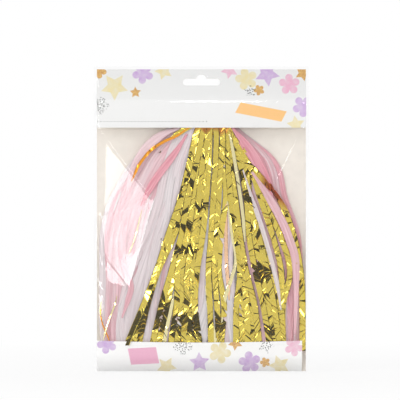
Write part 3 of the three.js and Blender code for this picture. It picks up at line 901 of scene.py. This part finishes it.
# The front tassel's strips: the middle of each in pixel columns of the picture, at the rows above
# from the header's edge to the footer's, then its sheet (0 at the back) and how crumpled it is
FRONT_STRIPS = [
    (197.5, 190.0, 180.0, 168.0, 156.8, 143.3, 128.0, 2, 1.0),
    (198.0, 191.0, 183.0, 172.0, 158.0, 147.0, 134.0, 1, 1.0),
    (198.5, 192.0, 186.0, 174.5, 158.5, 147.5, 139.5, 0, 1.0),
    (203.5, 197.0, 187.0, 181.0, 171.5, 161.5, 153.0, 2, 0.7),
    (204.0, 199.0, 190.0, 184.0, 174.0, 167.0, 159.0, 0, 0.7),
    (203.0, 200.0, 194.0, 187.0, 178.0, 176.5, 171.0, 1, 0.35),
    (205.0, 202.0, 197.0, 191.0, 183.0, 182.0, 177.0, 0, 0.6),
    (209.5, 203.0, 198.5, 194.0, 187.5, 186.5, 183.0, 2, 0.6),
    (210.0, 206.0, 201.0, 197.0, 191.5, 190.5, 188.5, 1, 0.6),
    (210.5, 208.5, 204.5, 199.5, 195.0, 194.5, 193.5, 0, 0.65),
    (210.0, 209.0, 206.0, 202.5, 197.0, 195.0, 199.0, 1, 0.5),
    (216.0, 215.5, 213.0, 211.0, 208.5, 210.0, 211.0, 2, 0.35),
    (222.0, 221.0, 218.5, 216.5, 214.5, 217.0, 219.0, 1, 0.25),
    (222.5, 224.5, 225.5, 221.0, 219.0, 224.0, 221.5, 0, 0.8),
    (227.5, 228.0, 231.0, 236.0, 240.0, 236.5, 236.0, 2, 0.9),
    (227.6, 228.5, 232.0, 237.0, 241.5, 241.5, 242.5, 0, 1.0),
    (227.7, 229.0, 233.5, 238.0, 243.0, 246.5, 248.0, 1, 0.9),
    (227.8, 229.5, 234.5, 239.0, 244.5, 251.0, 253.5, 0, 1.1),
    (227.9, 230.0, 235.5, 240.0, 246.0, 254.5, 259.0, 2, 0.9),
    (228.0, 239.0, 246.5, 249.0, 255.0, 263.0, 269.0, 1, 1.1),
    (228.0, 242.0, 247.5, 254.0, 261.0, 268.5, 274.0, 0, 1.2),
    (228.1, 244.5, 248.5, 258.5, 267.0, 274.0, 279.0, 2, 1.1),
    (228.1, 247.0, 249.5, 262.5, 272.5, 280.0, 282.0, 0, 1.2),
    (228.2, 247.5, 261.0, 272.5, 281.0, 281.5, 282.5, 1, 1.1),
    (228.2, 248.0, 263.5, 280.0, 290.0, 283.0, 283.0, 0, 1.2),
    (228.3, 246.0, 279.5, 293.5, 300.5, 302.5, 302.5, 2, 1.0),
]

# The strips that hide the others below the band
FRONT_LEADS = (0, 3, 7, 11, 12, 14)

# Strips that have turned over or worked loose: tint, width and depth in mm, how crumpled they are, and
# their places in the picture's pixels. The last three lie over the left fans and move with one.
# The amber and peach tints are painted reflections: the orange that the gold foil shows turned edge on, and
# the pink it mirrors from the tissue
STRAY_STRIPS = [
    ("pale", 2.9, 10.9, 0.15,
     [(229.5, 134), (231.8, 144), (236, 168), (240.5, 196), (243.5, 220), (245, 242)]),
    ("pale", 3.2, 8.9, 0.15, [(226.5, 197), (231.5, 230), (236, 258), (231, 280), (224.5, 300), (222, 322)]),
    ("pale", 3.2, 8.8, 0.2, [(205.5, 286), (207.5, 300), (210, 314), (213, 328), (215.5, 341), (216, 350)]),
    ("pale", 3.4, 8.7, 0.2, [(176, 288), (172.5, 302), (169, 318), (166, 332), (164.5, 342), (163, 350)]),
    ("peach", 3.2, 8.7, 0.1, [(226.5, 195), (226, 215), (226, 238), (226.5, 262), (228, 282), (229, 300)]),
    ("gold", 4.6, 9.4, 1.2, [(193, 124), (189, 126.5), (185, 129), (181, 131.5), (177, 134), (172, 137)]),
    ("amber", 2.5, 9.9, 0.1, [(190, 126.5), (177, 135.5), (163, 142), (150, 151), (139, 165), (131.5, 181)]),
    ("pale", 1.3, 8.9, 0.1, [(142, 210), (139.5, 219), (137.5, 228), (135, 237), (132, 246), (128, 255)]),
    ("pale", 1.3, 8.9, 0.1, [(117, 296), (115, 304), (112, 312), (108.5, 321), (105.5, 331), (103, 342)]),
    ("amber", 1.1, 8.9, 0.1, [(101, 302), (100.3, 310), (101, 318), (103.5, 327), (107, 335), (110, 343)]),
]

# Creases along each foil strip
FOIL_CREASES = 64


def folded_ribbons(rng, at, length, half_width, amount, lean):
    """Foil strips that are folded into flat facets. Row 2k and row 2k + 1 are the two edges of crease
    k, whose share of the length is at, and from there to the next crease a facet lies. With p the
    place along the strip and a the share across it, a facet's relief is
    offset + slope (p - its middle) + twist a + kink |a - its kink's place|, plus lean times p from
    the middle of its pair of facets, and its outermost edges bend back. A raised facet stands between
    two level ones, so that both its creases show. Returns the rows' shares, and the relief, shares
    across and slide of each point."""
    count, creases = at.shape
    draw = partial(rng.uniform, size=(count, creases))
    number = np.arange(creases)
    place = at * length
    gap = np.diff(place, axis=1)
    gap_before, gap_after = (np.pad(gap, ((0, 0), side), mode="edge") for side in ((1, 0), (0, 1)))
    room = np.minimum(gap_before, gap_after)

    def either_side(low, high):
        return draw(low, high) * rng.choice([-1, 1], (count, creases))

    def tilt(share):
        steep = draw(0, 1) < share * amount
        return np.radians(np.where(steep, either_side(9, 24), rng.normal(0, 0.8, (count, creases))))

    width = np.minimum(draw(0.6, 1.6) * MM, 0.45 * room) * (1 - 1.6 * np.abs(lean))
    wedge = draw(-0.55, 0.55)
    wave = rng.uniform(38, 60, (count, 1)) * MM
    phase = rng.uniform(0, 2 * np.pi, (count, 1))
    slant = np.sin(2 * np.pi * place / wave + phase) * 1.3 * half_width
    slant = slant + draw(-0.3, 0.3) * room
    slope = np.tan(tilt(0.12))
    twist = np.tan(tilt(0.08)) * half_width
    kink = np.tan(tilt(0.1)) * half_width
    kink_place = draw(-0.6, 0.6)
    raised = (draw(0, 1) < 0.1 + 0.75 * amount) & (number % 2 == 1)
    narrowest = 0.75 * width * (1 - np.abs(wedge))
    limit = np.minimum(narrowest, np.pad(narrowest[:, 1:], ((0, 0), (0, 1)), mode="edge"))
    offset = np.clip(either_side(0.25, 0.55) * MM, -limit, limit) * raised
    middle = place + gap_after / 2
    pair_middle = place[:, np.minimum(number // 2 * 2 + 1, creases - 1)]

    # Each crease's first edge belongs to the facet before it, and its second edge to its own
    owner = np.stack([np.maximum(number - 1, 0), number], 1).ravel()
    side = np.tile([-0.5, 0.5], creases)

    def of_facet(values):
        return values[:, owner][..., None]

    def of_crease(values):
        return np.repeat(values, 2, axis=1)[..., None]

    edge, bend = 0.85, 0.18 * MM
    kink_at = of_facet(kink_place)
    full = np.ones_like(kink_at)
    across = np.concatenate([-full, -edge * full, kink_at, edge * full, full], -1)
    slide = across * of_crease(slant)
    slide = slide + side[:, None] * of_crease(width) * (1 + of_crease(wedge) * across)
    along = of_crease(place) + slide
    relief = of_facet(offset) + of_facet(slope) * (along - of_facet(middle))
    relief += of_facet(np.tan(lean)) * (along - of_facet(pair_middle))
    relief += of_facet(twist) * across
    relief += of_facet(kink) * np.abs(across - kink_at)
    relief -= np.where(np.abs(across) == 1, bend, 0)
    slide[:, [0, -1]] = 0
    return np.repeat(at, 2, axis=1), relief, across, slide


def crease_shares(rng, count, crowding):
    """Shares of the length at which strips are creased: uneven steps, closer together low down."""
    steps = np.cumsum(rng.uniform(0.3, 1.9, (count, FOIL_CREASES)), 1)
    even = np.concatenate([np.zeros((count, 1)), steps], 1)[:, :-1]
    even = even / even[:, -1:]
    return 1 - (1 - even) ** crowding


# Patches of crumpled foil: the middle and the reach of each in the picture's pixels, how crumpled it
# is, and how far it leans back, from 0 to 1
FOIL_PATCHES = [
    ((229, 156), (6, 15), 1.0, 0.0),
    ((241, 172), (10, 9), 1.0, 0.4),
    ((189, 177), (7, 9), 0.9, 0.7),
    ((203, 203), (16, 6), 0.6, 0.5),
    ((180, 222), (15, 5), 0.8, 0.7),
    ((186, 249), (14, 5), 0.8, 0.8),
    ((218, 232), (6, 9), 0.8, 0.4),
    ((247, 196), (8, 12), 0.9, 0.5),
    ((262, 222), (12, 9), 1.0, 0.5),
    ((262, 243), (14, 9), 1.1, 0.0),
    ((261, 271), (13, 9), 1.0, 1.0),
    ((234, 291), (11, 4), 0.7, 0.8),
    ((222, 322), (16, 12), 0.9, 0.6),
    ((264, 329), (13, 5), 0.9, 0.9),
    ((258, 296), (5, 8), 0.7, 0.0),
    ((284, 288), (5, 9), 1.0, 0.0),
    ((301, 281), (6, 12), 1.2, 0.0),
    ((302, 325), (6, 12), 1.1, 0.3),
]


def step_x(x, start, end):
    """A smooth step from one pixel column of the picture to another, to either side."""
    return smooth(x, picture_x(start), picture_x(end))


def step_z(z, start, end):
    """A smooth step from one pixel row of the picture to another, up or down."""
    return smooth(z, picture_z(start), picture_z(end))


def patchwork(x, z, column):
    """The strongest patch at a place: each is a hill with its own height, from this column, and with
    two different reaches across and up."""
    total = 0 * x
    for row in FOIL_PATCHES:
        (middle_x, middle_z), (reach_x, reach_z) = row[:2]
        hill = bump(x, picture_x(middle_x), reach_x * PIXEL) * bump(z, picture_z(middle_z), reach_z * PIXEL)
        total = np.maximum(total, row[column] * hill)
    return total


def front_crumple(x, z):
    """How crumpled the front strips are at a place: hardly near the band, a little more at the right,
    and most low down at the left and in the patches."""
    uneven = smooth(ripples(x, z * 1.6, 40 * MM, 5), -0.3, 0.7) * 0.35
    right = step_x(x, 222, 240) * 0.42
    low = 0.85 * step_z(z, 262, 300) * step_x(x, 214, 200)
    below_band = step_z(z, 132, 165)
    strong = np.maximum(low, patchwork(x, z, 2))
    return 0.1 + 1.05 * np.maximum(np.maximum(uneven, right) * below_band, strong)


def front_lean(x, z):
    """How far the front strips lean back at a place: at the lower left, down to the fold above the
    footer and from higher up in the outer strips, and in the patches."""
    start = picture_z(264) - 34 * PIXEL * step_x(x, 150, 178)
    low_left = smooth(start - z, 0, 22 * PIXEL) * step_x(x, 210, 198)
    low_left = low_left * (1 - step_z(z, 333, 335))
    return np.radians(14) * np.maximum(low_left, smooth(patchwork(x, z, 3), 0.25, 0.4))


def sheet_room(z):
    """The share of the usual room between the front tassel's sheets: less under both flaps."""
    return 0.3 + 0.7 * step_z(z, 128, 205) * step_z(z, 342, 325)


class TASSEL_PACK_OT_foil(bpy.types.Operator):
    """Lay the gold foil fringes"""

    bl_idname = "tassel_pack.foil"
    bl_label = "Foil fringes"

    def execute(self, context):
        settings = context.scene.tassel_pack.foil
        foil = new_material("metallised_foil", foil_surface)
        self.front(settings, foil)
        self.strays(settings, foil)
        for index, colour_name in enumerate(COLOURS[:-1]):
            if colour_name == "gold":
                self.behind(index, settings, foil)
        return {"FINISHED"}

    def front(self, settings, foil):
        """The front fringe, which has its strips' places from the table. At the neck they have come
        nearly half way to the head's place, and their tips go on as they come to the footer's edge."""
        rng = np.random.default_rng(7)
        *columns, sheet, calm = np.array(FRONT_STRIPS).T[..., None]
        columns = picture_x(np.hstack(columns))
        neck = columns[:, :1] + (head_place(TASSEL_COUNT - 1) - columns[:, :1]) * 0.45
        tips = columns[:, -1:] + (columns[:, -1:] - columns[:, -2:-1]) * 0.25
        values = np.hstack([neck, columns, tips])
        count = len(values)
        at = crease_shares(rng, count, 1.25)
        # The first strip has worked loose, and its square end lies over the footer, at this row
        loose_end = picture_z(344.5)
        at[0] *= (TOP - loose_end) / (TOP - BOTTOM)
        x, z = curve(ROW_SHARES, values, at), TOP + (BOTTOM - TOP) * at
        widths = settings.strip_width * rng.uniform(0.96, 1.04, count)
        half = widths[:, None] / 2
        crumple, lean = front_crumple(x, z) * calm, front_lean(x, z)
        # One pair of facets in twenty doesn't lean with the others
        lean *= np.repeat(rng.uniform(0, 1, (count, FOIL_CREASES // 2)) < 0.95, 2, axis=1)
        crumple[0], lean[0] = np.where(at[0] < 0.8, 0.4, 0), 0
        at, relief, across, slide = folded_ribbons(rng, at, TOP - BOTTOM, half, crumple, lean)
        x, z = curve(ROW_SHARES, values, at), TOP + (BOTTOM - TOP) * at
        y = -(FRONT_SHEET_DEPTH + sheet * FRONT_SHEET_PITCH * sheet_room(z))
        # Near the band the other strips lie 0.5 mm behind the leading ones, and the loose end 2 mm in front
        behind = ~np.isin(np.arange(count), FRONT_LEADS)
        y += 0.5 * MM * behind[:, None] * step_z(z, 190, 138)
        y[0] -= smooth(at[0], 0.78, 0.92) * 2.0 * MM
        phase = rng.uniform(0, 2 * np.pi, (count, 1))
        turn = np.radians(2.5) * np.sin(phase) + np.radians(2) * np.sin(at * 9 + phase)
        # The last strip is twisted at one place, and the first one's end stands askew
        twisted = bump(z[-1], picture_z(192), 11 * MM)
        turn[-1] += np.radians(52) * twisted
        turn[0] += np.radians(24) * smooth(at[0], 0.8, 0.9)
        points = ribbon_points(x, y, z, half + 0 * at, turn, across, relief, slide)
        copper = np.array(settings.copper[:])
        tints = np.tile(np.array(settings.gold[:]), (count, at.shape[1], 1))
        tints[..., :3] *= rng.uniform(0.94, 1.0, (count, 1, 1))
        # Painted reflection: where it is twisted, the last strip is tinted copper, for the brown that the
        # foil mirrors there
        tints[-1] += (copper - tints[-1]) * np.clip(1.3 * twisted, 0, 1)[:, None]
        # Painted shade and reflection: the strips' rows from just under the header's edge upward are tinted
        # copper
        band = 0.8 * step_z(z, 131.5, 130)[..., None]
        tints += (copper - tints) * band
        piece = add_fringe("tassel_18_strips", points, tints, widths, foil, faceted=True)
        hand_over(piece, "tassel_18_fringe")

    def strays(self, settings, foil):
        """The turned and loose strips, as a piece for each tassel that they move with."""
        rng = np.random.default_rng(17)
        names, widths, depths, crumples, places = zip(*STRAY_STRIPS)
        count = len(names)
        places = np.array(places, float)
        stations = np.linspace(0, 1, places.shape[1])
        columns, rows = picture_x(places[..., 0]), picture_z(places[..., 1])
        lengths = np.abs(rows[:, :1] - rows[:, -1:])
        even = np.tile(np.linspace(0, 1, STRAY_CREASES), (count, 1))
        at = np.clip(even + rng.uniform(-0.012, 0.012, even.shape), 0, 1)
        at[:, 0], at[:, -1] = 0, 1
        widths = np.array(widths) * MM
        half = widths[:, None] / 2
        crumple = np.array(crumples)[:, None] + 0 * at
        at, relief, across, slide = folded_ribbons(rng, at, lengths, half, crumple, 0 * at)
        x, z = curve(stations, columns, at), curve(stations, rows, at)
        y = -np.array(depths)[:, None] * MM + 0 * at
        ends = 0.35 + 0.65 * smooth(at, 0.0, 0.3) * smooth(at, 1.0, 0.85)
        turn = np.radians(2.5) * np.sin(at * 5 + rng.uniform(0, 6, (count, 1)))
        points = ribbon_points(x, y, z, half * ends, turn, across, relief * 0.4, slide)
        tints = np.array([getattr(settings, name)[:] for name in names])
        for index, own in ((17, slice(0, -3)), (14, slice(-3, None))):
            name = tassel(index, "stray_strips")
            piece = add_fringe(name, points[own], tints[own], widths[own], foil, faceted=True)
            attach(piece, frame["nodes"][tassel(index, "fringe")]["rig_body"])

    def behind(self, index, settings, foil):
        """A fringe behind the front one, evenly crumpled."""
        rng = np.random.default_rng(200 + index)
        count = STRAND_COUNTS[index]
        draw = partial(rng.uniform, size=(count, 1))
        widths = settings.strip_width * rng.uniform(0.85, 1.0, count)
        half = widths[:, None] / 2
        at = crease_shares(rng, count, 1.0)
        at, relief, across, slide = folded_ribbons(rng, at, TOP - BOTTOM, half, 0.8 + 0 * at, 0 * at)
        x, z = fan_lines(index, at, rng, half)
        y = -pressed_depth(x, z, FIRST_LAYER + index * LAYER_PITCH)
        turn = np.radians(14) * np.sin(at * draw(4, 9) + draw(0, 6))
        half = half * (0.5 + 0.5 * smooth(at, 0.0, 0.06))
        points = ribbon_points(x, y, z, half, turn, across, relief, slide)
        tints = np.tile(np.array(settings.gold[:]), (count, 1))
        piece = add_fringe(tassel(index, "strips"), points, tints, widths, foil, faceted=True)
        hand_over(piece, tassel(index, "fringe"))


# The heads


def head_surface(low, high, turns, ridges):
    """A twisted head between two corners: at height share s and angle a, the radius is an ellipse's
    times 1 - g + g cos(ridges (a - 2 pi turns s)), with g the grooves' depth, a waist at the bottom and
    a dome on top."""
    groove = 0.16
    s = np.linspace(0, 1, HEAD_ROWS)[:, None]
    a = np.linspace(0, 2 * np.pi, HEAD_SIDES, endpoint=False)[None, :]
    dome = np.sqrt(np.clip(1 - np.clip(s * 2 - 1, 0, 1) ** 4, 0.03, 1))
    waist = 0.8 + 0.2 * quarter_wave(s * 2)
    ridge = 1 - groove + groove * np.cos(ridges * (a - 2 * np.pi * turns * s))
    middle, half = (low + high) / 2, (high - low) / 2
    x = middle.x + half.x * waist * dome * ridge * np.cos(a)
    y = middle.y + half.y * dome * ridge * np.sin(a)
    z = low.z + (high.z - low.z) * s + 0 * a
    index = np.arange(HEAD_ROWS * HEAD_SIDES).reshape(HEAD_ROWS, HEAD_SIDES)
    beside = np.roll(index, -1, 1)
    faces = np.stack([index[:-1], beside[:-1], beside[1:], index[1:]], -1).reshape(-1, 4).tolist()
    faces += [index[0, ::-1].tolist(), index[-1].tolist()]
    return np.stack([x, y, z], -1), faces, np.stack(np.broadcast_arrays(a * half.x, z - low.z), -1)


class TASSEL_PACK_OT_heads(bpy.types.Operator):
    """Twist the tassels' heads"""

    bl_idname = "tassel_pack.heads"
    bl_label = "Heads"

    def execute(self, context):
        settings = context.scene.tassel_pack
        foil, paper = (bpy.data.materials[name] for name in ("metallised_foil", "tissue_paper"))
        for index, colour_name in enumerate(COLOURS):
            node = tassel(index, "head")
            points, faces, uv = head_surface(*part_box(node), HEAD_TURNS, 3 + index % 2)
            gold = colour_name == "gold"
            piece = add_piece(tassel(index, "twist"), points, faces, [foil if gold else paper], uv)
            tint = getattr(settings.foil if gold else settings.tissue, colour_name)[:]
            add_tint(piece, np.tile(tint, (HEAD_ROWS * HEAD_SIDES, 1)))
            hand_over(piece, node)
        return {"FINISHED"}


# The bag

# The front film is dented beside the fringes. Each dent is a list of slanting faces, each given by
# the fold that it falls away from, in the picture's pixels with the dent on the right of someone who
# walks along it, and by its slope
DENTS = (
    (((98, 127), (154.5, 201), 0.1), ((154.5, 201), (129, 288), 0.11), ((129, 288), (97, 280), 0.14)),
    (((292, 270), (268, 205), 0.07), ((268, 205), (303, 129), 0.06)),
)

# Straight folds with flat flanks: from and to in the picture's pixels, with height and half width
FOLDS = [
    ((306, 124), (274, 190), 0.5 * MM, 3.2 * MM),
    ((305, 165), (293, 200), 0.34 * MM, 2.2 * MM),
    ((98, 127), (154.5, 201), 0.3 * MM, 2.1 * MM),
]

# Short creases, bell-shaped: from and to in the picture's pixels, with height and reach
CREASES = [
    ((96, 287), (134, 297), 0.42 * MM, 2.6 * MM),
    ((98, 212), (104, 268), 0.5 * MM, 1.2 * MM),
    ((97, 70), (101, 92), 0.5 * MM, 0.9 * MM),
    ((101, 92), (98, 124), 0.5 * MM, 0.9 * MM),
    ((306, 86), (300, 98), 0.4 * MM, 0.9 * MM),
    ((250, 250), (262, 237), 0.3 * MM, 1.6 * MM),
    ((265, 240), (275, 232), 0.3 * MM, 1.4 * MM),
]


def beside_line(x, z, start, end):
    """How far a place lies to the right of the line, looking along it, and the share of it passed."""
    sx, sz, ex, ez = picture_x(start[0]), picture_z(start[1]), picture_x(end[0]), picture_z(end[1])
    reach = np.hypot(ex - sx, ez - sz)
    ux, uz = (ex - sx) / reach, (ez - sz) / reach
    return (x - sx) * uz - (z - sz) * ux, ((x - sx) * ux + (z - sz) * uz) / reach


def film_forward(z):
    """How far the film stands in front of the panel over the card: over each flap it is the flap's
    depth plus slack that rises from the bag's end, and the lesser of the two holds."""
    over_header = header_depth(z) + FILM_SLACK * quarter_wave((FILM_HIGH.z - z) / FILM_RISE)
    over_footer = footer_depth(z) + FILM_SLACK * quarter_wave((z - FILM_LOW.z) / FILM_RISE)
    return np.minimum(over_header, over_footer) + CARD_THICKNESS + FILM_GAP


def film_dent(x, z):
    """How far the dents go in: in each, the least of its faces' slope times the distance from the fold."""
    total = 0.0
    for faces in DENTS:
        falls = [slope * beside_line(x, z, start, end)[0] for start, end, slope in faces]
        total = total + np.maximum(np.minimum.reduce(falls), 0)
    return total


def flat_flanks(away):
    """A fold's profile: 1 along its line, falling evenly to 0 at its half width."""
    return np.maximum(1 - away, 0)


def film_points():
    """The front film. Its x and its depth follow the rounded box |x|^n + |depth|^n = 1, less the dents.
    Folds stand on it with two flat flanks, creases as bell-shaped ridges, and both fade at their ends."""
    u, v = np.meshgrid(np.linspace(-1, 1, FILM_COLUMNS), np.linspace(0, 1, FILM_ROWS))
    z = FILM_HIGH.z + (FILM_LOW.z - FILM_HIGH.z) * (0.55 * v + 0.45 * (0.5 - 0.5 * np.cos(np.pi * v)))
    # Most columns lie over the face, and the rest, closer together, round its sides
    face, face_reach = 0.86, 0.97
    beyond = face_reach + (1 - face_reach) * quarter_wave((np.abs(u) - face) / (1 - face))
    share = np.sign(u) * np.where(np.abs(u) < face, np.abs(u) / face * face_reach, beyond)
    forward = (1 - np.abs(share) ** BAG_SQUARENESS) ** (1 / BAG_SQUARENESS)
    x = (FILM_HIGH.x + FILM_LOW.x) / 2 + (FILM_HIGH.x - FILM_LOW.x) / 2 * share
    depth = film_forward(z) - film_dent(x, z)
    for ridges, profile in ((FOLDS, flat_flanks), (CREASES, partial(bump, middle=0, reach=1))):
        for start, end, height, width in ridges:
            away, passed = beside_line(x, z, start, end)
            ends = smooth(passed, -0.05, 0.2) * smooth(passed, 1.05, 0.8)
            depth = depth + height * profile(np.abs(away) / width) * ends
    return np.stack([x, -depth * forward + FILM_HIGH.y * (1 - forward), z], -1)


class TASSEL_PACK_OT_bag(bpy.types.Operator):
    """Close the clear bag over the card"""

    bl_idname = "tassel_pack.bag"
    bl_label = "Bag"

    def execute(self, context):
        film = new_material("polypropylene_film", film_surface, context.scene.tassel_pack.film)
        piece = add_piece("front_film", film_points(), grid_faces(FILM_ROWS, FILM_COLUMNS), [film])
        thicken(piece, FILM_THICKNESS)
        bake_modifiers(piece)
        punch_slot(piece)
        hand_over(piece, "bag_front_film")
        paint_node("bag_back_film", film)
        return {"FINISHED"}


# The stage

# The soft boxes: name, degrees aside and up from the middle of the picture, distance, size, radiance
SOFT_BOXES = [
    ("veil_box", -14, 5.2, 2.6, (0.3, 0.6), 9.0),
    ("streak_box", 12.0, 9.3, 2.6, (0.24, 0.2), 7.0),
    ("near_card", -14.4, -4.6, 0.82, (0.1, 0.11), 8.0),
    ("glow_box", 0.7, 12.7, 2.6, (0.14, 0.16), 13.0),
    ("left_strip_box", -32, 8, 2.6, (0.07, 0.7), 10.0),
    ("right_strip_box", 32, 8, 2.6, (0.07, 0.7), 10.0),
    ("key_box", -42, 38, 2.4, (0.7, 0.7), 4.5),
]


def add_lamp(target, name, azimuth, elevation, distance, size, radiance):
    """A soft box: an area lamp of this radiance, turned to the target."""
    data = bpy.data.lights.new(name, "AREA")
    data.shape = "RECTANGLE"
    data.size, data.size_y = size
    data.energy = radiance * math.pi * size[0] * size[1]
    lamp = bpy.data.objects.new(name, data)
    bpy.context.scene.collection.objects.link(lamp)
    a, e = math.radians(azimuth), math.radians(elevation)
    out = Vector((math.sin(a) * math.cos(e), -math.cos(a) * math.cos(e), math.sin(e)))
    lamp.location = target + out * distance
    lamp.rotation_mode = "QUATERNION"
    lamp.rotation_quaternion = (target - lamp.location).to_track_quat("-Z", "Y")


def ray_is(add, *kinds):
    """1 for rays of any of these kinds, and 0 for the others."""
    path = add("LightPath").node.outputs
    known = path[f"Is {kinds[0]} Ray"]
    for kind in kinds[1:]:
        known = add("Math", (known, path[f"Is {kind} Ray"]), operation="MAXIMUM")
    return known


def light_world():
    """A white studio: even and bright, white behind the pack and in the camera's view. What gloss and
    foil mirror is the same white behind the pack and a bright wall round the camera, and the dim rest
    of the room between them. The wall reaches from 6 degrees below level to 16 above, and 17 aside.
    lit is the strength that lights the pack, and bright the wall's."""
    world = bpy.data.worlds.new("studio")
    bpy.context.scene.world = world
    add = new_nodes(world)
    x, y, z = add("SeparateXYZ", (add("TexCoord", out="Generated"),)).node.outputs
    lit, bright = 0.79, 0.9
    ahead = add("Math", (add("Math", (y, -1.0), operation="MULTIPLY"), 0.001), operation="MAXIMUM")
    up = add("Math", (z, ahead), operation="DIVIDE")
    aside = add("Math", (add("Math", (x, ahead), operation="DIVIDE"),), operation="ABSOLUTE")
    wall = bright
    for value, start, end in ((up, -0.115, -0.095), (up, 0.31, 0.27), (aside, 0.33, 0.28)):
        wall = add("Math", (wall, add("MapRange", (value, start, end))), operation="MULTIPLY")
    behind = add("MapRange", (y, -0.2, 0.1, 0.06, 1.0))
    mirrored = add("Math", (behind, wall), operation="MAXIMUM")
    level = add("Mix", {0: ray_is(add, "Glossy"), 2: lit, 3: mirrored}, data_type="FLOAT")
    seen = ray_is(add, "Camera", "Transmission")
    level = add("Mix", {0: seen, 2: level, 3: 1.0}, data_type="FLOAT")
    add("OutputWorld", (add("Background", {"Color": (1, 1, 1, 1), "Strength": level}),))


def floor_surface(add):
    """Matt white seamless paper. It shows its own white, and near the pack the pack's shadow."""
    away = add("VectorMath", (add("TexCoord", out="Object"),), "Value", operation="LENGTH")
    shadow = add("MapRange", (away, 0.3, 0.7, 0.18, 0.0))
    lit = add("BsdfDiffuse", {"Color": (0.96, 0.96, 0.96, 1)})
    white = add("Emission", {"Color": (1, 1, 1, 1), "Strength": 1.0})
    near = add("MixShader", (shadow, white, lit))
    seen = ray_is(add, "Camera", "Glossy", "Transmission")
    return add("MixShader", (seen, lit, near))


class TASSEL_PACK_OT_stage(bpy.types.Operator):
    """Set the floor, the light and the camera"""

    bl_idname = "tassel_pack.stage"
    bl_label = "Stage"

    def execute(self, context):
        settings = context.scene.tassel_pack.stage
        scene = context.scene
        scene.view_settings.view_transform = "Standard"
        light_world()
        corners = [[-FLOOR_REACH, -FLOOR_REACH], [FLOOR_REACH, -FLOOR_REACH]]
        corners += [[FLOOR_REACH, FLOOR_REACH], [-FLOOR_REACH, FLOOR_REACH]]
        points = np.array([[x, y, FLOOR_Z] for x, y in corners])
        paper = new_material("seamless_paper", floor_surface)
        floor = add_piece("floor", points, [[0, 1, 2, 3]], [paper], shaded_smooth=False)

        middle = Vector((PICTURE_MIDDLE_X, HEADER_LOW.y, PICTURE_MIDDLE_Z))
        lens = bpy.data.cameras.new("camera")
        lens.lens = lens.sensor_width * settings.camera_distance / FRAME_WIDTH
        lens.clip_end = 50
        camera = bpy.data.objects.new("camera", lens)
        scene.collection.objects.link(camera)
        camera.location = middle + Vector((0, -settings.camera_distance, 0))
        camera.rotation_euler = (math.pi / 2, 0, 0)
        scene.camera = camera
        for row in SOFT_BOXES:
            add_lamp(middle, *row)
        return {"FINISHED"}


class TASSEL_PACK_PT_panel(bpy.types.Panel):
    """Makes the pack piece by piece, in this order"""

    bl_idname = "TASSEL_PACK_PT_panel"
    bl_label = "Tassel pack"
    bl_space_type = "VIEW_3D"
    bl_region_type = "UI"
    bl_category = "Tassel pack"

    def draw(self, context):
        settings = context.scene.tassel_pack
        for group in ("card", "foil", "tissue", "film", "stage"):
            box = self.layout.box()
            box.label(text=group.capitalize())
            values = getattr(settings, group)
            for name in values.__annotations__:
                box.prop(values, name)
        for step in OPERATORS:
            self.layout.operator(step.bl_idname)


SETTINGS = (CardSettings, FoilSettings, TissueSettings, FilmSettings, StageSettings, PackSettings)
OPERATORS = (
    TASSEL_PACK_OT_stage,
    TASSEL_PACK_OT_card,
    TASSEL_PACK_OT_tissue,
    TASSEL_PACK_OT_foil,
    TASSEL_PACK_OT_heads,
    TASSEL_PACK_OT_bag,
)
CLASSES = SETTINGS + OPERATORS + (TASSEL_PACK_PT_panel,)


def register():
    for kind in CLASSES:
        bpy.utils.register_class(kind)
    bpy.types.Scene.tassel_pack = PointerProperty(type=PackSettings)


def unregister():
    del bpy.types.Scene.tassel_pack
    for kind in reversed(CLASSES):
        bpy.utils.unregister_class(kind)


def main():
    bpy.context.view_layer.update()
    register()
    bpy.ops.tassel_pack.stage()
    bpy.ops.tassel_pack.card()
    bpy.ops.tassel_pack.tissue()
    bpy.ops.tassel_pack.foil()
    bpy.ops.tassel_pack.heads()
    bpy.ops.tassel_pack.bag()


if __name__ == "__main__":
    main()
